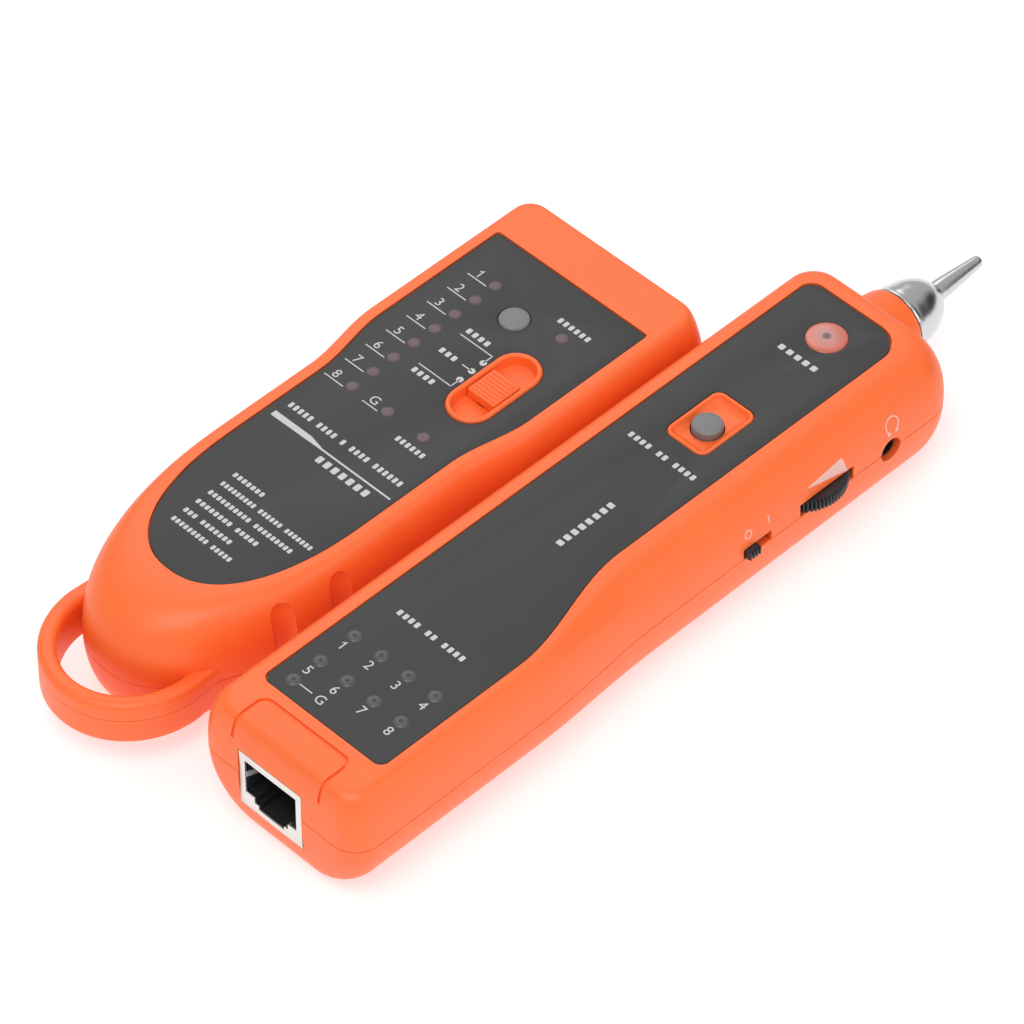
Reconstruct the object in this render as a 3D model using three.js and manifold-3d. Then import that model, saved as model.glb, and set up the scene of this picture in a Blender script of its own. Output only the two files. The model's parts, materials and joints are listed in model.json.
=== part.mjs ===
// Tone probe kit: a cable tracer made of an emitter (tx) and a receiver (rx) lying side by side.
// Millimetres, +Z up. The origin is the middle of the whole kit's footprint, on the bench.
import * as THREE from 'three';
import { mergeVertices } from 'three/addons/utils/BufferGeometryUtils.js';
import Module from 'manifold-3d';

const wasm = await Module();
wasm.setup();

// ---- driving dimensions ----------------------------------------------------------------------

const GAP = 0.3; // clearance between neighbouring pieces
const WALL = 2.2; // shell thickness
const HEIGHT = 27; // both units, bench to top face
const SHOULDER = 2.5; // exponent of the rounded upper edge; 2 would be an ellipse
const LABEL_THICK = 0.5;
const LABEL_DROP = 0.2; // label face below the case's top face

const BATTERY = { length: 48.5, width: 26.5, height: 17.5, lift: 4 };
const DOOR = { length: 50.4, width: 29, lift: 0.3, top: 2.0, travel: 4 };
const LED = {
  radius: 1.5, bodyHeight: 5, flangeRadius: 1.75, flangeHeight: 1,
  legSpacing: 2.54, legSize: 0.5,
};

// How the two units lie side by side: the loop reaches past the socket end, the sides all but touch.
const KIT = { length: 199.6, width: 92, stagger: 9.5 };

// Receiver: x runs from the socket end to the probe, y = 0 is the middle of its wide part.
const RX = {
  x: KIT.stagger - KIT.length / 2, y: 20.8 - KIT.width / 2, // where the unit lies in the kit
  length: 160.8,
  half: 20.6, // half width of the wide part
  waistHalf: 18.5, // right half width behind the waist
  seam: 15, // height of the parting line
  waistFrom: 46, waistTo: 78,
  topInset: { sides: 4.3, waist: 8.4, socketEnd: 3.2, probeEnd: 4.4 },
  bottomInset: { sides: 11.8, waist: 9.0, socketEnd: 3.3, probeEnd: 4.7 },
  waistLag: 8, // how much further back the waist lies at the underside
  labelFrom: 11.6, labelTo: 154.4, labelLeft: 15.0, labelRight: 15.3, labelWaist: 8.7,
  axisY: 3.5, axisZ: 15.6, // probe axis
};

// Emitter: x runs from the hang loop to the connector end, y = 0 is its centre line.
const TX = {
  x: -KIT.length / 2, y: KIT.width / 2 - 25,
  length: 144.3,
  half: 25, waistHalf: 22.5,
  seam: 12.2,
  noseCentre: 59.9, noseReach: 48.9, // half egg in front of this station
  waistFrom: 82, waistTo: 100,
  egg: 2.3, // exponent of the egg-shaped end
  crisp: 6, // exponent of the tighter edge behind the nose
  topInset: { sides: 4.4, nose: 15.3, end: 3.0 },
  bottomInset: { sides: 6.5, nose: 5.5, end: 5 },
  labelReach: 32.6, labelTo: 131.2, labelHalf: 19.7, labelWaist: 17.1,
};

const LOOP = { centre: 17.9, reach: 17.9, half: 16.9, band: 3.6, from: 6, to: 16, armEnd: 27 };

const SOCKET = { width: 15.9, height: 13.8, depth: 18 }; // shielded RJ45 jack
const PHONE = { width: 13.2, height: 11.6, depth: 16 }; // RJ11 jack

// ---- colours ---------------------------------------------------------------------------------

const COLOURS = {
  case: [0xff6a2e, 0.5, 0],
  label: [0x505050, 0.6, 0],
  grey: [0x8f8f8f, 0.6, 0],
  black: [0x202022, 0.55, 0],
  chrome: [0xd8d8da, 0.2, 1],
  tinplate: [0xd9d9d4, 0.35, 0.9],
  led: [0xc98f92, 0.3, 0],
  board: [0x1f6b3a, 0.6, 0],
  battery: [0x2b3350, 0.5, 0],
  steel: [0xb5b5b8, 0.35, 1],
};

function paint(name) {
  const [color, roughness, metalness] = COLOURS[name];
  return new THREE.MeshStandardMaterial({ color, roughness, metalness });
}

// ---- solids ----------------------------------------------------------------------------------

function solid(geometry) {
  const bare = geometry.clone();
  bare.deleteAttribute('normal');
  bare.deleteAttribute('uv');
  const merged = mergeVertices(bare, 1e-4);
  return new wasm.Manifold(new wasm.Mesh({
    numProp: 3,
    vertProperties: merged.attributes.position.array,
    triVerts: new Uint32Array(merged.index.array),
  }));
}

function geometryOf(body) {
  const mesh = body.getMesh();
  const geometry = new THREE.BufferGeometry();
  geometry.setAttribute('position', new THREE.BufferAttribute(mesh.vertProperties, 3));
  geometry.setIndex(new THREE.BufferAttribute(mesh.triVerts, 1));
  geometry.computeVertexNormals();
  return geometry;
}

// A box given by its low and high corners.
function box(low, high) {
  const size = high.map((v, i) => v - low[i]);
  const geometry = new THREE.BoxGeometry(...size);
  geometry.translate(...low.map((v, i) => v + size[i] / 2));
  return solid(geometry);
}

const TURN = { x: ['rotateZ', -Math.PI / 2], y: null, z: ['rotateX', Math.PI / 2] };

// A cylinder of the given radius whose axis starts at a point and runs along +x, +y or +z.
function rod(axis, start, length, radius, sides = 16) {
  const geometry = new THREE.CylinderGeometry(radius, radius, length, sides);
  geometry.translate(0, length / 2, 0);
  if (TURN[axis]) geometry[TURN[axis][0]](TURN[axis][1]);
  geometry.translate(...start);
  return solid(geometry);
}

// A body turned about a line along +z or +x from [radius, height] pairs, lowest first.
function turned(axis, start, profile, sides = 16) {
  const points = profile.map(([r, h]) => new THREE.Vector2(r, h));
  const geometry = new THREE.LatheGeometry(points, sides);
  if (TURN[axis]) geometry[TURN[axis][0]](TURN[axis][1]);
  geometry.translate(...start);
  return solid(geometry);
}

// A flat plate with the given outline between two heights.
function plate(outline, low, high) {
  const shape = new THREE.Shape(outline);
  const geometry = new THREE.ExtrudeGeometry(shape, { depth: high - low, bevelEnabled: false });
  geometry.translate(0, 0, low);
  return solid(geometry);
}

// Points of a rounded rectangle, anticlockwise.
function roundedRectangle(x0, y0, x1, y1, radius, steps = 4) {
  const corners = [[x1, y0, -1, 1, -90], [x1, y1, -1, -1, 0], [x0, y1, 1, -1, 90], [x0, y0, 1, 1, 180]];
  return corners.flatMap(([x, y, sx, sy, from]) => arc(
    x + sx * radius, y + sy * radius, radius, from, from + 90, steps,
  ));
}

function arc(x, y, radius, from, to, steps) {
  return Array.from({ length: steps + 1 }, (_, i) => {
    const a = THREE.MathUtils.degToRad(from + ((to - from) * i) / steps);
    return new THREE.Vector2(x + radius * Math.cos(a), y + radius * Math.sin(a));
  });
}

// A closed body through outlines of equal count, each an array of points at its own height.
function loft(outlines, heights) {
  const count = outlines[0].length;
  const positions = outlines.flatMap((outline, k) => outline.flatMap((p) => [p.x, p.y, heights[k]]));
  const index = [];
  for (let k = 0; k + 1 < outlines.length; k += 1) {
    for (let i = 0; i < count; i += 1) {
      const a = k * count + i;
      const b = k * count + ((i + 1) % count);
      index.push(a, b, b + count, a, b + count, a + count);
    }
  }
  const top = (outlines.length - 1) * count;
  for (const [a, b, c] of THREE.ShapeUtils.triangulateShape(outlines[0], [])) index.push(a, c, b);
  for (const [a, b, c] of THREE.ShapeUtils.triangulateShape(outlines.at(-1), [])) {
    index.push(top + a, top + b, top + c);
  }
  const geometry = new THREE.BufferGeometry();
  geometry.setAttribute('position', new THREE.Float32BufferAttribute(positions, 3));
  geometry.setIndex(index);
  return solid(geometry);
}

function mix(a, b, t) {
  return a + (b - a) * t;
}

function smooth(x, from, to) {
  return THREE.MathUtils.smoothstep(x, from, to);
}

// Share of the edge inset that is left at a height: 1 on the flat faces, 0 at the parting line.
function insetShare(z, seam, height) {
  if (z >= seam) return 1 - (1 - ((z - seam) / (height - seam)) ** SHOULDER) ** (1 / SHOULDER);
  return 1 - Math.sqrt(Math.max(0, 1 - ((seam - z) / seam) ** 2));
}

// Heights of the loft's outlines, closer together where the edge turns.
function loftHeights(seam, low, high, upperSteps, lowerSteps) {
  const lower = Array.from({ length: lowerSteps }, (_, i) => {
    const turn = (Math.PI / 2) * (1 - i / lowerSteps);
    return seam - (seam - low) * Math.sin(turn);
  });
  const upper = Array.from({ length: upperSteps + 1 }, (_, i) => {
    const turn = (Math.PI / 2) * (i / upperSteps);
    return seam + (high - seam) * Math.sin(turn) ** 0.8;
  });
  return [...lower, ...upper];
}

function hull(outlineAt, seam, low, high, upperSteps = 5, lowerSteps = 4) {
  const heights = loftHeights(seam, low, high, upperSteps, lowerSteps);
  return loft(heights.map(outlineAt), heights);
}

// ---- shared pieces ---------------------------------------------------------------------------

// A 3 mm LED whose dome ends at the given height, on two legs that reach down to the board.
function led(x, y, top, board) {
  const base = top - LED.bodyHeight;
  const dome = [[0, base], [LED.flangeRadius, base], [LED.flangeRadius, base + LED.flangeHeight],
    [LED.radius, base + LED.flangeHeight], [LED.radius, top - 1.2], [1.1, top - 0.35], [0, top]];
  const body = turned('z', [x, y, 0], dome, 10);
  const legs = [-1, 1].map((side) => {
    const legX = x + (side * LED.legSpacing) / 2;
    const half = LED.legSize / 2;
    return box([legX - half, y - half, board + GAP], [legX + half, y + half, base + 0.5]);
  });
  return body.add(legs[0]).add(legs[1]);
}

// A modular jack facing -x, its mouth stepped for the latch at the bottom.
function jackHousing(x, y, bottom, size, wall) {
  const half = size.width / 2;
  return box([x, y - half, bottom], [x + size.depth, y + half, bottom + size.height])
    .subtract(box([x - 1, y - half + wall, bottom + wall],
      [x + size.depth - wall, y + half - wall, bottom + size.height - wall]));
}

// The plug-shaped cavity of a modular jack, with two narrower steps for the latch at the bottom.
function jackMouth(x, y, top, width, height, depth) {
  const steps = [[1, 0, 0.78], [0.66, 0.78, 0.91], [0.5, 0.91, 1]];
  return steps.map(([share, from, to]) => {
    const half = (width * share) / 2;
    return box([x - 2, y - half, top - height * to - 0.01], [x + depth, y + half, top - height * from]);
  }).reduce((a, b) => a.add(b));
}

function battery(x) {
  const half = BATTERY.width / 2;
  const outline = roundedRectangle(-half, 0, half, BATTERY.height, 2, 2);
  const cell = plate(outline, 0, BATTERY.length);
  return cell.rotate([90, 0, 90]).translate([x, 0, BATTERY.lift]);
}

// The snap connector stands in front of the battery's terminals.
function batterySnap(x, thickness) {
  const middle = BATTERY.lift + BATTERY.height / 2;
  return box([x, -11, middle - 6], [x + thickness, 11, middle + 6]);
}

function doorBox(x, grow, top, extra = 0) {
  const half = DOOR.width / 2 + grow;
  const outline = roundedRectangle(x - grow, -half, x + DOOR.length + grow + extra, half, 2, 2);
  return plate(outline, -1, top);
}

// The battery door is shaped by the case's own underside, with two tongues at its low-x end.
function batteryDoor(outer, x) {
  const tongues = [-8, 8].map((y) => box([x - 2.6, y - 3, WALL + GAP], [x + 4, y + 3, 3.6])
    .add(box([x + 1, y - 3, DOOR.top - 0.5], [x + 4, y + 3, 3.6])));
  const lifted = box([-10, -60, DOOR.lift], [200, 60, DOOR.top]);
  return outer.intersect(doorBox(x, 0, DOOR.top)).intersect(lifted).add(tongues[0]).add(tongues[1]);
}

// The frame inside the lower case that the door's rim lies against, within the case's outer form.
function doorFrame(outer, x) {
  const half = DOOR.width / 2 + 1.5;
  return box([x - 0.5, -half, 1.5], [x + DOOR.length + DOOR.travel + 1.2, half, 3.7]).intersect(outer);
}

// The way through the lower case: a wide recess for the door and its travel, an opening above it.
function doorCut(x) {
  const half = BATTERY.width / 2 + 0.4;
  const opening = box([x + 1.5, -half, 0], [x + DOOR.length - 0.2, half, 6]);
  const slots = [-8, 8].map((y) => box([x - GAP, y - 3.3, 1], [x + 9, y + 3.3, 6])
    .add(box([x - 3.5, y - 3.3, WALL], [x + 9, y + 3.3, 6])));
  return doorBox(x, GAP, DOOR.top + GAP, DOOR.travel).add(opening).add(slots[0]).add(slots[1]);
}

function screw(x, y, headAt, length) {
  const profile = [[0, headAt], [2.4, headAt], [2.4, headAt + 1.6], [1.3, headAt + 1.6],
    [1.3, headAt + length - 1], [0, headAt + length]];
  const slotA = box([x - 1.6, y - 0.35, headAt - 1], [x + 1.6, y + 0.35, headAt + 0.8]);
  const slotB = box([x - 0.35, y - 1.6, headAt - 1], [x + 0.35, y + 1.6, headAt + 0.8]);
  return turned('z', [x, y, 0], profile, 12).subtract(slotA).subtract(slotB);
}

const SCREW_HEAD = 1.2;
const SCREW_LENGTH = 14;
const BOSS_FOOT = 5;

// The boss that hangs from the upper case, and the hole for the screw in it.
function screwBoss(x, y, ceiling) {
  return rod('z', [x, y, BOSS_FOOT], ceiling - BOSS_FOOT, 3, 12);
}

function screwBore(x, y) {
  return rod('z', [x, y, BOSS_FOOT - 1], SCREW_LENGTH, 1.6, 12);
}

// The pillar in the lower case with a pocket for the head and a hole for the shank.
function screwPillar(x, y) {
  return rod('z', [x, y, 0.2], BOSS_FOOT - GAP - 0.2, 4.2, 12);
}

function screwPocket(x, y) {
  const head = rod('z', [x, y, -1], SCREW_HEAD + 1.6 + GAP + 1, 2.8, 12);
  return head.add(rod('z', [x, y, 0], 8, 1.7, 12));
}

// The bosses of the upper case reach down past the parting line, each with its bore.
function withBossFeet(upper, places, seam) {
  const feet = places.map(([x, y]) => {
    const foot = rod('z', [x, y, BOSS_FOOT], seam, 3, 12);
    return foot.subtract(screwBore(x, y));
  });
  return feet.reduce((a, b) => a.add(b), upper);
}

function withBossRoom(lower, places) {
  const rooms = places.map(([x, y]) => rod('z', [x, y, BOSS_FOOT - GAP], 30, 3 + GAP, 12));
  return rooms.reduce((a, b) => a.subtract(b), lower);
}

function tactSwitch(x, y, board, top) {
  const can = box([x - 3, y - 3, board + GAP], [x + 3, y + 3, top - 1.5]);
  return can.add(rod('z', [x, y, top - 2], 2, 1.7, 12));
}

// A round push button: a cap with a rounded rim, and a stem that ends above its switch.
function pushButton(x, y, radius, top, ceiling, stemEnd) {
  const flange = radius + 0.7;
  const profile = [[0, stemEnd], [1.5, stemEnd], [1.5, ceiling - 3.4], [flange, ceiling - 3.4],
    [flange, ceiling - 2.6], [radius, ceiling - 2.6], [radius, top - 0.5], [radius - 0.5, top], [0, top]];
  return turned('z', [x, y, 0], profile, 20);
}

// ---- receiver --------------------------------------------------------------------------------

// Right-hand edge of the receiver: wide by the sockets, narrower behind the waist.
function rxRight(x, lag, wide, narrow) {
  return -mix(wide, narrow, smooth(x, RX.waistFrom + lag, RX.waistTo + lag));
}

function rxOutline(box0, radii) {
  const { x0, x1, left, wide, narrow, lag = 0 } = box0;
  const [socketRadius, probeRadius, probeLeftRadius] = radii;
  const waist = [0, 0.25, 0.5, 0.75, 1].map((t) => {
    const x = mix(RX.waistFrom, RX.waistTo, t) + lag;
    return new THREE.Vector2(x, rxRight(x, lag, wide, narrow));
  });
  return [
    ...arc(x0 + socketRadius, -wide + socketRadius, socketRadius, 180, 270, 5),
    ...waist,
    ...arc(x1 - probeRadius, -narrow + probeRadius, probeRadius, 270, 360, 6),
    ...arc(x1 - probeLeftRadius, left - probeLeftRadius, probeLeftRadius, 0, 90, 5),
    ...arc(x0 + socketRadius, left - socketRadius, socketRadius, 90, 180, 5),
  ];
}

function rxOutlineAt(shrink) {
  return (z) => {
    const share = insetShare(z, RX.seam, HEIGHT);
    const inset = z >= RX.seam ? RX.topInset : RX.bottomInset;
    return rxOutline({
      x0: inset.socketEnd * share + shrink,
      x1: RX.length - inset.probeEnd * share - shrink,
      left: RX.half - inset.sides * share - shrink,
      wide: RX.half - inset.sides * share - shrink,
      narrow: RX.waistHalf - inset.waist * share - shrink,
      lag: z >= RX.seam ? 0 : RX.waistLag * share,
    }, [[5.5, 5], [8.5, 6.5], [6, 5]].map(([mid, flat]) => mix(mid, flat, share) - shrink * 0.6));
  };
}

function rxLabelOutline(grow) {
  return rxOutline({
    x0: RX.labelFrom - grow, x1: RX.labelTo + grow, left: RX.labelLeft + grow,
    wide: RX.labelRight + grow, narrow: RX.labelWaist + grow,
  }, [2, 6, 3]);
}

const RX_BOARD = { low: 5.2, high: 6.8 };
const RX_PAD = { to: 9.1, y0: -11.2, y1: 11.6, low: 22.6, depth: 0.5, width: 0.8 };
const RX_DISH = { x0: 106.2, x1: 121.2, y0: -2.8, y1: 7.4, depth: 1.6 };
const RX_BUTTON = { x: 113.2, y: 2.6, radius: 3.05, top: HEIGHT + 0.4 };
const RX_LENS = { x: 145.2, y: 2.4, radius: 4.1 };
const RX_WHEEL = { x: 123.5, y: -11.6, radius: 9.2, low: 15.2, thick: 2.6, slotHalf: 7.2, slotHigh: 3.1 };
const RX_SWITCH = {
  x: 103, z: 16.25, travel: 3.8, knob: 3, knobHigh: 1.9, reach: 19.9,
  slotFrom: 101.2, slotTo: 108.6, slotHigh: 2.4,
};
const RX_EAR = { x: 141, z: 15, hole: 2.6, bore: 1.8 };
const RX_SPEAKER = {
  x: 133, y: 1,
  profile: [[0, 2.5], [9.5, 2.5], [9.5, 3.7], [6, 3.7], [6, 4.9], [0, 4.9]],
};
const RX_LED_ROWS = [30.2, 21.7];
const RX_LED_Y = [10.5, 3.65, -3.2, -10.05];
const RX_LED_G = [15.2, 10.7];
const RX_SCREWS = [[39.7, 0], [101.5, 3]];
const RX_DOOR_X = 43;
const RX_SOCKET = { y: 1.4, bottom: 7.1 };
const LED_TOP = HEIGHT - LABEL_DROP - LABEL_THICK - GAP;

function rxLedPlaces() {
  const grid = RX_LED_ROWS.flatMap((x, row) => RX_LED_Y.map((y, i) => {
    const number = row * RX_LED_Y.length + i + 1;
    return [`rx_led_${number}`, x, y];
  }));
  return [...grid, ['rx_led_g', ...RX_LED_G]];
}

// The receiver's outer form, with the round collar that the probe stands in.
const RX_COLLAR = [[0, -8], [7.9, -8], [7.9, 0], [7.6, 4], [6.9, 5.1], [0, 5.1]];
const rxOuter = hull(rxOutlineAt(0), RX.seam, 0, HEIGHT)
  .add(turned('x', [RX.length, RX.axisY, RX.axisZ], RX_COLLAR, 24));

// A groove around three sides of the pad above the socket, following the rounded edge.
function rxPadGroove() {
  const { to, y0, y1, low, depth, width } = RX_PAD;
  const pad = roundedRectangle(-4, y0 + width, to - width, y1 - width, 1.6);
  const ring = plate(roundedRectangle(-3, y0, to, y1, 2.4), low, 40).subtract(plate(pad, low - 1, 41));
  return ring.subtract(hull(rxOutlineAt(depth), RX.seam, depth, HEIGHT - depth));
}

// Outline of the dish around the receiver's button, grown by some amount.
function rxDish(grow, radius) {
  const { x0, x1, y0, y1 } = RX_DISH;
  return roundedRectangle(x0 - grow, y0 - grow, x1 + grow, y1 + grow, radius);
}

function rxShell() {
  const label = plate(rxLabelOutline(0.2), HEIGHT - LABEL_DROP - LABEL_THICK - 0.2, HEIGHT + 1);
  const floor = HEIGHT - RX_DISH.depth;
  const dish = plate(rxDish(0, 2), floor, 40);
  const dishPan = plate(rxDish(1.2, 3), HEIGHT - 3.4, HEIGHT - 1.5);
  const rim = plate(rxDish(0, 2), HEIGHT - 2.6, HEIGHT).subtract(plate(rxDish(-1, 1.5), floor, 40));
  let shell = rxOuter.subtract(hull(rxOutlineAt(WALL), RX.seam, WALL, HEIGHT - WALL));
  for (const [x, y] of RX_SCREWS) {
    shell = shell.add(screwBoss(x, y, HEIGHT - 1)).add(screwPillar(x, y));
  }
  shell = shell.subtract(label).add(dishPan).subtract(dish).add(rim).subtract(rxPadGroove());
  shell = shell.subtract(rod('z', [RX_BUTTON.x, RX_BUTTON.y, HEIGHT - 5], 9, RX_BUTTON.radius + GAP, 20));
  shell = shell.subtract(rod('z', [RX_LENS.x, RX_LENS.y, HEIGHT - 5], 9, RX_LENS.radius + GAP, 20));
  for (const [, x, y] of rxLedPlaces()) {
    shell = shell.subtract(rod('z', [x, y, HEIGHT - 5], 6, LED.radius + GAP, 10));
  }
  for (const [x, y] of RX_SCREWS) {
    shell = shell.subtract(screwBore(x, y)).subtract(screwPocket(x, y));
  }
  const half = SOCKET.width / 2 + GAP;
  shell = shell.subtract(box([-3, RX_SOCKET.y - half, RX_SOCKET.bottom - GAP],
    [8, RX_SOCKET.y + half, RX_SOCKET.bottom + SOCKET.height + GAP]));
  shell = shell.subtract(box([RX_SWITCH.slotFrom, -30, RX.seam], [RX_SWITCH.slotTo, -10, RX.seam + RX_SWITCH.slotHigh]));
  const wheel = RX_WHEEL;
  shell = shell.subtract(box([wheel.x - wheel.slotHalf, -30, RX.seam],
    [wheel.x + wheel.slotHalf, wheel.y, RX.seam + wheel.slotHigh]));
  shell = shell.subtract(rod('z', [wheel.x, wheel.y, RX.seam], wheel.slotHigh, wheel.radius + GAP, 36));
  shell = shell.subtract(rod('y', [RX_EAR.x, -30, RX_EAR.z], 20, RX_EAR.hole, 16));
  shell = shell.subtract(rod('x', [RX.length - 12, RX.axisY, RX.axisZ], 30, 3.8, 20));
  return shell;
}

// Sound holes in the lower case, a centre hole and a ring of six.
function rxSoundHoles() {
  const places = [[0, 0], ...Array.from({ length: 6 }, (_, i) => {
    const a = (i * Math.PI) / 3;
    return [4 * Math.cos(a), 4 * Math.sin(a)];
  })];
  const { x, y } = RX_SPEAKER;
  return places.map(([dx, dy]) => rod('z', [x + dx, y + dy, -1], 6, 0.9, 8)).reduce((a, b) => a.add(b));
}

function rxPieces() {
  const pieces = {};
  const shell = rxShell();
  const seam = GAP / 2;
  const above = box([-20, -60, RX.seam + seam], [220, 60, 60]);
  const below = box([-20, -60, -10], [220, 60, RX.seam - seam]);
  const upper = withBossFeet(shell.intersect(above), RX_SCREWS, RX.seam);
  const lower = withBossRoom(shell.intersect(below).add(doorFrame(rxOuter, RX_DOOR_X)), RX_SCREWS);
  pieces.rx_upper_case = [upper, 'case'];
  pieces.rx_lower_case = [lower.subtract(doorCut(RX_DOOR_X)).subtract(rxSoundHoles()), 'case'];
  pieces.rx_battery_door = [batteryDoor(rxOuter, RX_DOOR_X), 'case'];
  pieces.rx_face_label = [rxLabel(), 'label'];
  pieces.rx_probe_cone = [rxCone(), 'chrome'];
  pieces.rx_probe_needle = [rxNeedle(), 'chrome'];
  pieces.rx_test_button = [pushButton(RX_BUTTON.x, RX_BUTTON.y, RX_BUTTON.radius, RX_BUTTON.top,
    HEIGHT - 1.2, 15.6), 'grey'];
  pieces.rx_tact_switch = [tactSwitch(RX_BUTTON.x, RX_BUTTON.y, RX_BOARD.high, 14.4), 'black'];
  pieces.rx_power_lens = [rxLens(), 'led'];
  pieces.rx_power_led = [led(RX_LENS.x, RX_LENS.y, HEIGHT - 3.4, RX_BOARD.high), 'led'];
  for (const [name, x, y] of rxLedPlaces()) {
    pieces[name] = [led(x, y, LED_TOP, RX_BOARD.high), 'led'];
  }
  Object.assign(pieces, rxControls());
  pieces.rx_rj45_shield = [jackHousing(0.2, RX_SOCKET.y, RX_SOCKET.bottom, SOCKET, 0.5)
    .add(jackFace(0.2, RX_SOCKET.y, RX_SOCKET.bottom)), 'tinplate'];
  pieces.rx_rj45_insert = [rxInsert(), 'black'];
  pieces.rx_led_board = [box([5, -14, RX_BOARD.low], [35, 14, RX_BOARD.high]), 'board'];
  pieces.rx_main_board = [box([106, -12.5, RX_BOARD.low], [152, 15, RX_BOARD.high]), 'board'];
  pieces.rx_speaker = [turned('z', [RX_SPEAKER.x, RX_SPEAKER.y, 0], RX_SPEAKER.profile, 20), 'black'];
  pieces.rx_battery = [battery(RX_DOOR_X + 1.8), 'battery'];
  pieces.rx_battery_snap = [batterySnap(RX_DOOR_X + 1.8 + BATTERY.length + GAP, 4.6), 'black'];
  RX_SCREWS.forEach(([x, y], i) => {
    pieces[`rx_screw_${i + 1}`] = [screw(x, y, SCREW_HEAD, SCREW_LENGTH), 'steel'];
  });
  return pieces;
}

function rxLabel() {
  const top = HEIGHT - LABEL_DROP;
  return plate(rxLabelOutline(-0.1), top - LABEL_THICK, top)
    .subtract(plate(rxDish(GAP, 2.3), 20, 30))
    .subtract(rod('z', [RX_LENS.x, RX_LENS.y, 20], 10, RX_LENS.radius + GAP, 20));
}

// The lens is a shallow dome on a flange that sits under the case's top wall.
function rxLens() {
  const top = HEIGHT + 0.3;
  const profile = [[0, top - 2.6], [RX_LENS.radius, top - 2.6], [RX_LENS.radius, top - 0.8],
    [RX_LENS.radius * 0.75, top - 0.25], [RX_LENS.radius * 0.4, top - 0.05], [0, top]];
  return turned('z', [RX_LENS.x, RX_LENS.y, 0], profile, 20);
}

const CONE_BASE = RX.length + 5.4;

function rxCone() {
  const profile = [[0, 0], [6.95, 0], [6.9, 1.2], [6.5, 3.4], [5.9, 5.6], [5.0, 7.8], [3.8, 9.5],
    [2.7, 10.5], [0, 10.5]];
  const nose = turned('x', [CONE_BASE, RX.axisY, RX.axisZ], profile, 24);
  const stem = rod('x', [RX.length - 10, RX.axisY, RX.axisZ], 16, 3.5, 20);
  const bore = rod('x', [CONE_BASE + 4, RX.axisY, RX.axisZ], 10, 1.8 + GAP, 16);
  return nose.add(stem).subtract(bore);
}

function rxNeedle() {
  const profile = [[0, 4.6], [1.8, 4.6], [1.8, 10.7], [2.2, 10.7], [1.8, 17], [1.35, 21.8],
    [1.0, 23.5], [0, 23.9]];
  return turned('x', [CONE_BASE, RX.axisY, RX.axisZ], profile, 16);
}

function jackFace(x, y, bottom) {
  const half = SOCKET.width / 2;
  const frame = box([x, y - half, bottom], [x + 0.5, y + half, bottom + SOCKET.height]);
  return frame.subtract(jackMouth(x, y, bottom + SOCKET.height - 1.6, 13, 10.9, 3));
}

// The plastic body inside the shield, with the plug cavity.
function rxInsert() {
  const wall = 0.5 + GAP;
  const half = SOCKET.width / 2 - wall;
  const { y } = RX_SOCKET;
  return box([0.2 + wall, y - half, RX_SOCKET.bottom + wall],
    [SOCKET.depth - wall, y + half, RX_SOCKET.bottom + SOCKET.height - wall])
    .subtract(jackMouth(0.2, y, RX_SOCKET.bottom + SOCKET.height - 1.9, 12.6, 10.3, 12.5));
}

// Wheel, potentiometer, slide switch and earphone jack along the right side.
function rxControls() {
  const wheelY = RX_WHEEL.y;
  const teeth = 40;
  const rim = Array.from({ length: teeth * 2 }, (_, i) => {
    const a = (i * Math.PI) / teeth;
    const r = RX_WHEEL.radius - (i % 2 ? 0.35 : 0);
    return new THREE.Vector2(RX_WHEEL.x + r * Math.cos(a), wheelY + r * Math.sin(a));
  });
  const wheel = plate(rim, RX_WHEEL.low, RX_WHEEL.low + RX_WHEEL.thick)
    .add(rod('z', [RX_WHEEL.x, wheelY, RX_WHEEL.low - 1.2], 2, 2, 12));
  const pot = box([RX_WHEEL.x - 5, -14.7, RX_BOARD.high + GAP], [RX_WHEEL.x + 5, -6, RX_WHEEL.low - 0.6])
    .subtract(rod('z', [RX_WHEEL.x, wheelY, RX_WHEEL.low - 2], 5, 2 + GAP, 12));
  const { x, z, travel, knob, knobHigh, reach } = RX_SWITCH;
  const high = knobHigh / 2;
  const slider = box([x - knob / 2, -reach + 0.4, z - high], [x + knob / 2, -17, z + high])
    .add(box([x - 1, -17.5, z - 0.8], [x + 1, -13.2, z + 0.8]));
  const ribs = [-1, 0, 1].map((dx) => (
    box([x + dx - 0.25, -reach, z - high], [x + dx + 0.25, -reach + 0.8, z + high])
  ));
  const switchBody = box([x - 3.6, -14.7, RX_BOARD.high + GAP], [x + travel + 3.6, -8.5, z + 2.2])
    .subtract(box([x - 1 - GAP, -17, z - 0.8 - GAP], [x + travel + 1 + GAP, -12.9, z + 0.8 + GAP]));
  const jack = box([RX_EAR.x - 4, -14.4, RX_BOARD.high + GAP], [RX_EAR.x + 4, -3.5, RX_EAR.z + 3.4])
    .add(rod('y', [RX_EAR.x, -17.2, RX_EAR.z], 3, 2.3, 16))
    .subtract(rod('y', [RX_EAR.x, -20, RX_EAR.z], 14.5, RX_EAR.bore, 14));
  return {
    rx_volume_wheel: [wheel, 'black'],
    rx_volume_pot: [pot, 'black'],
    rx_power_slider: [ribs.reduce((a, b) => a.add(b), slider), 'black'],
    rx_power_switch_body: [switchBody, 'steel'],
    rx_earphone_jack: [jack, 'black'],
  };
}

// ---- emitter ---------------------------------------------------------------------------------

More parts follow.
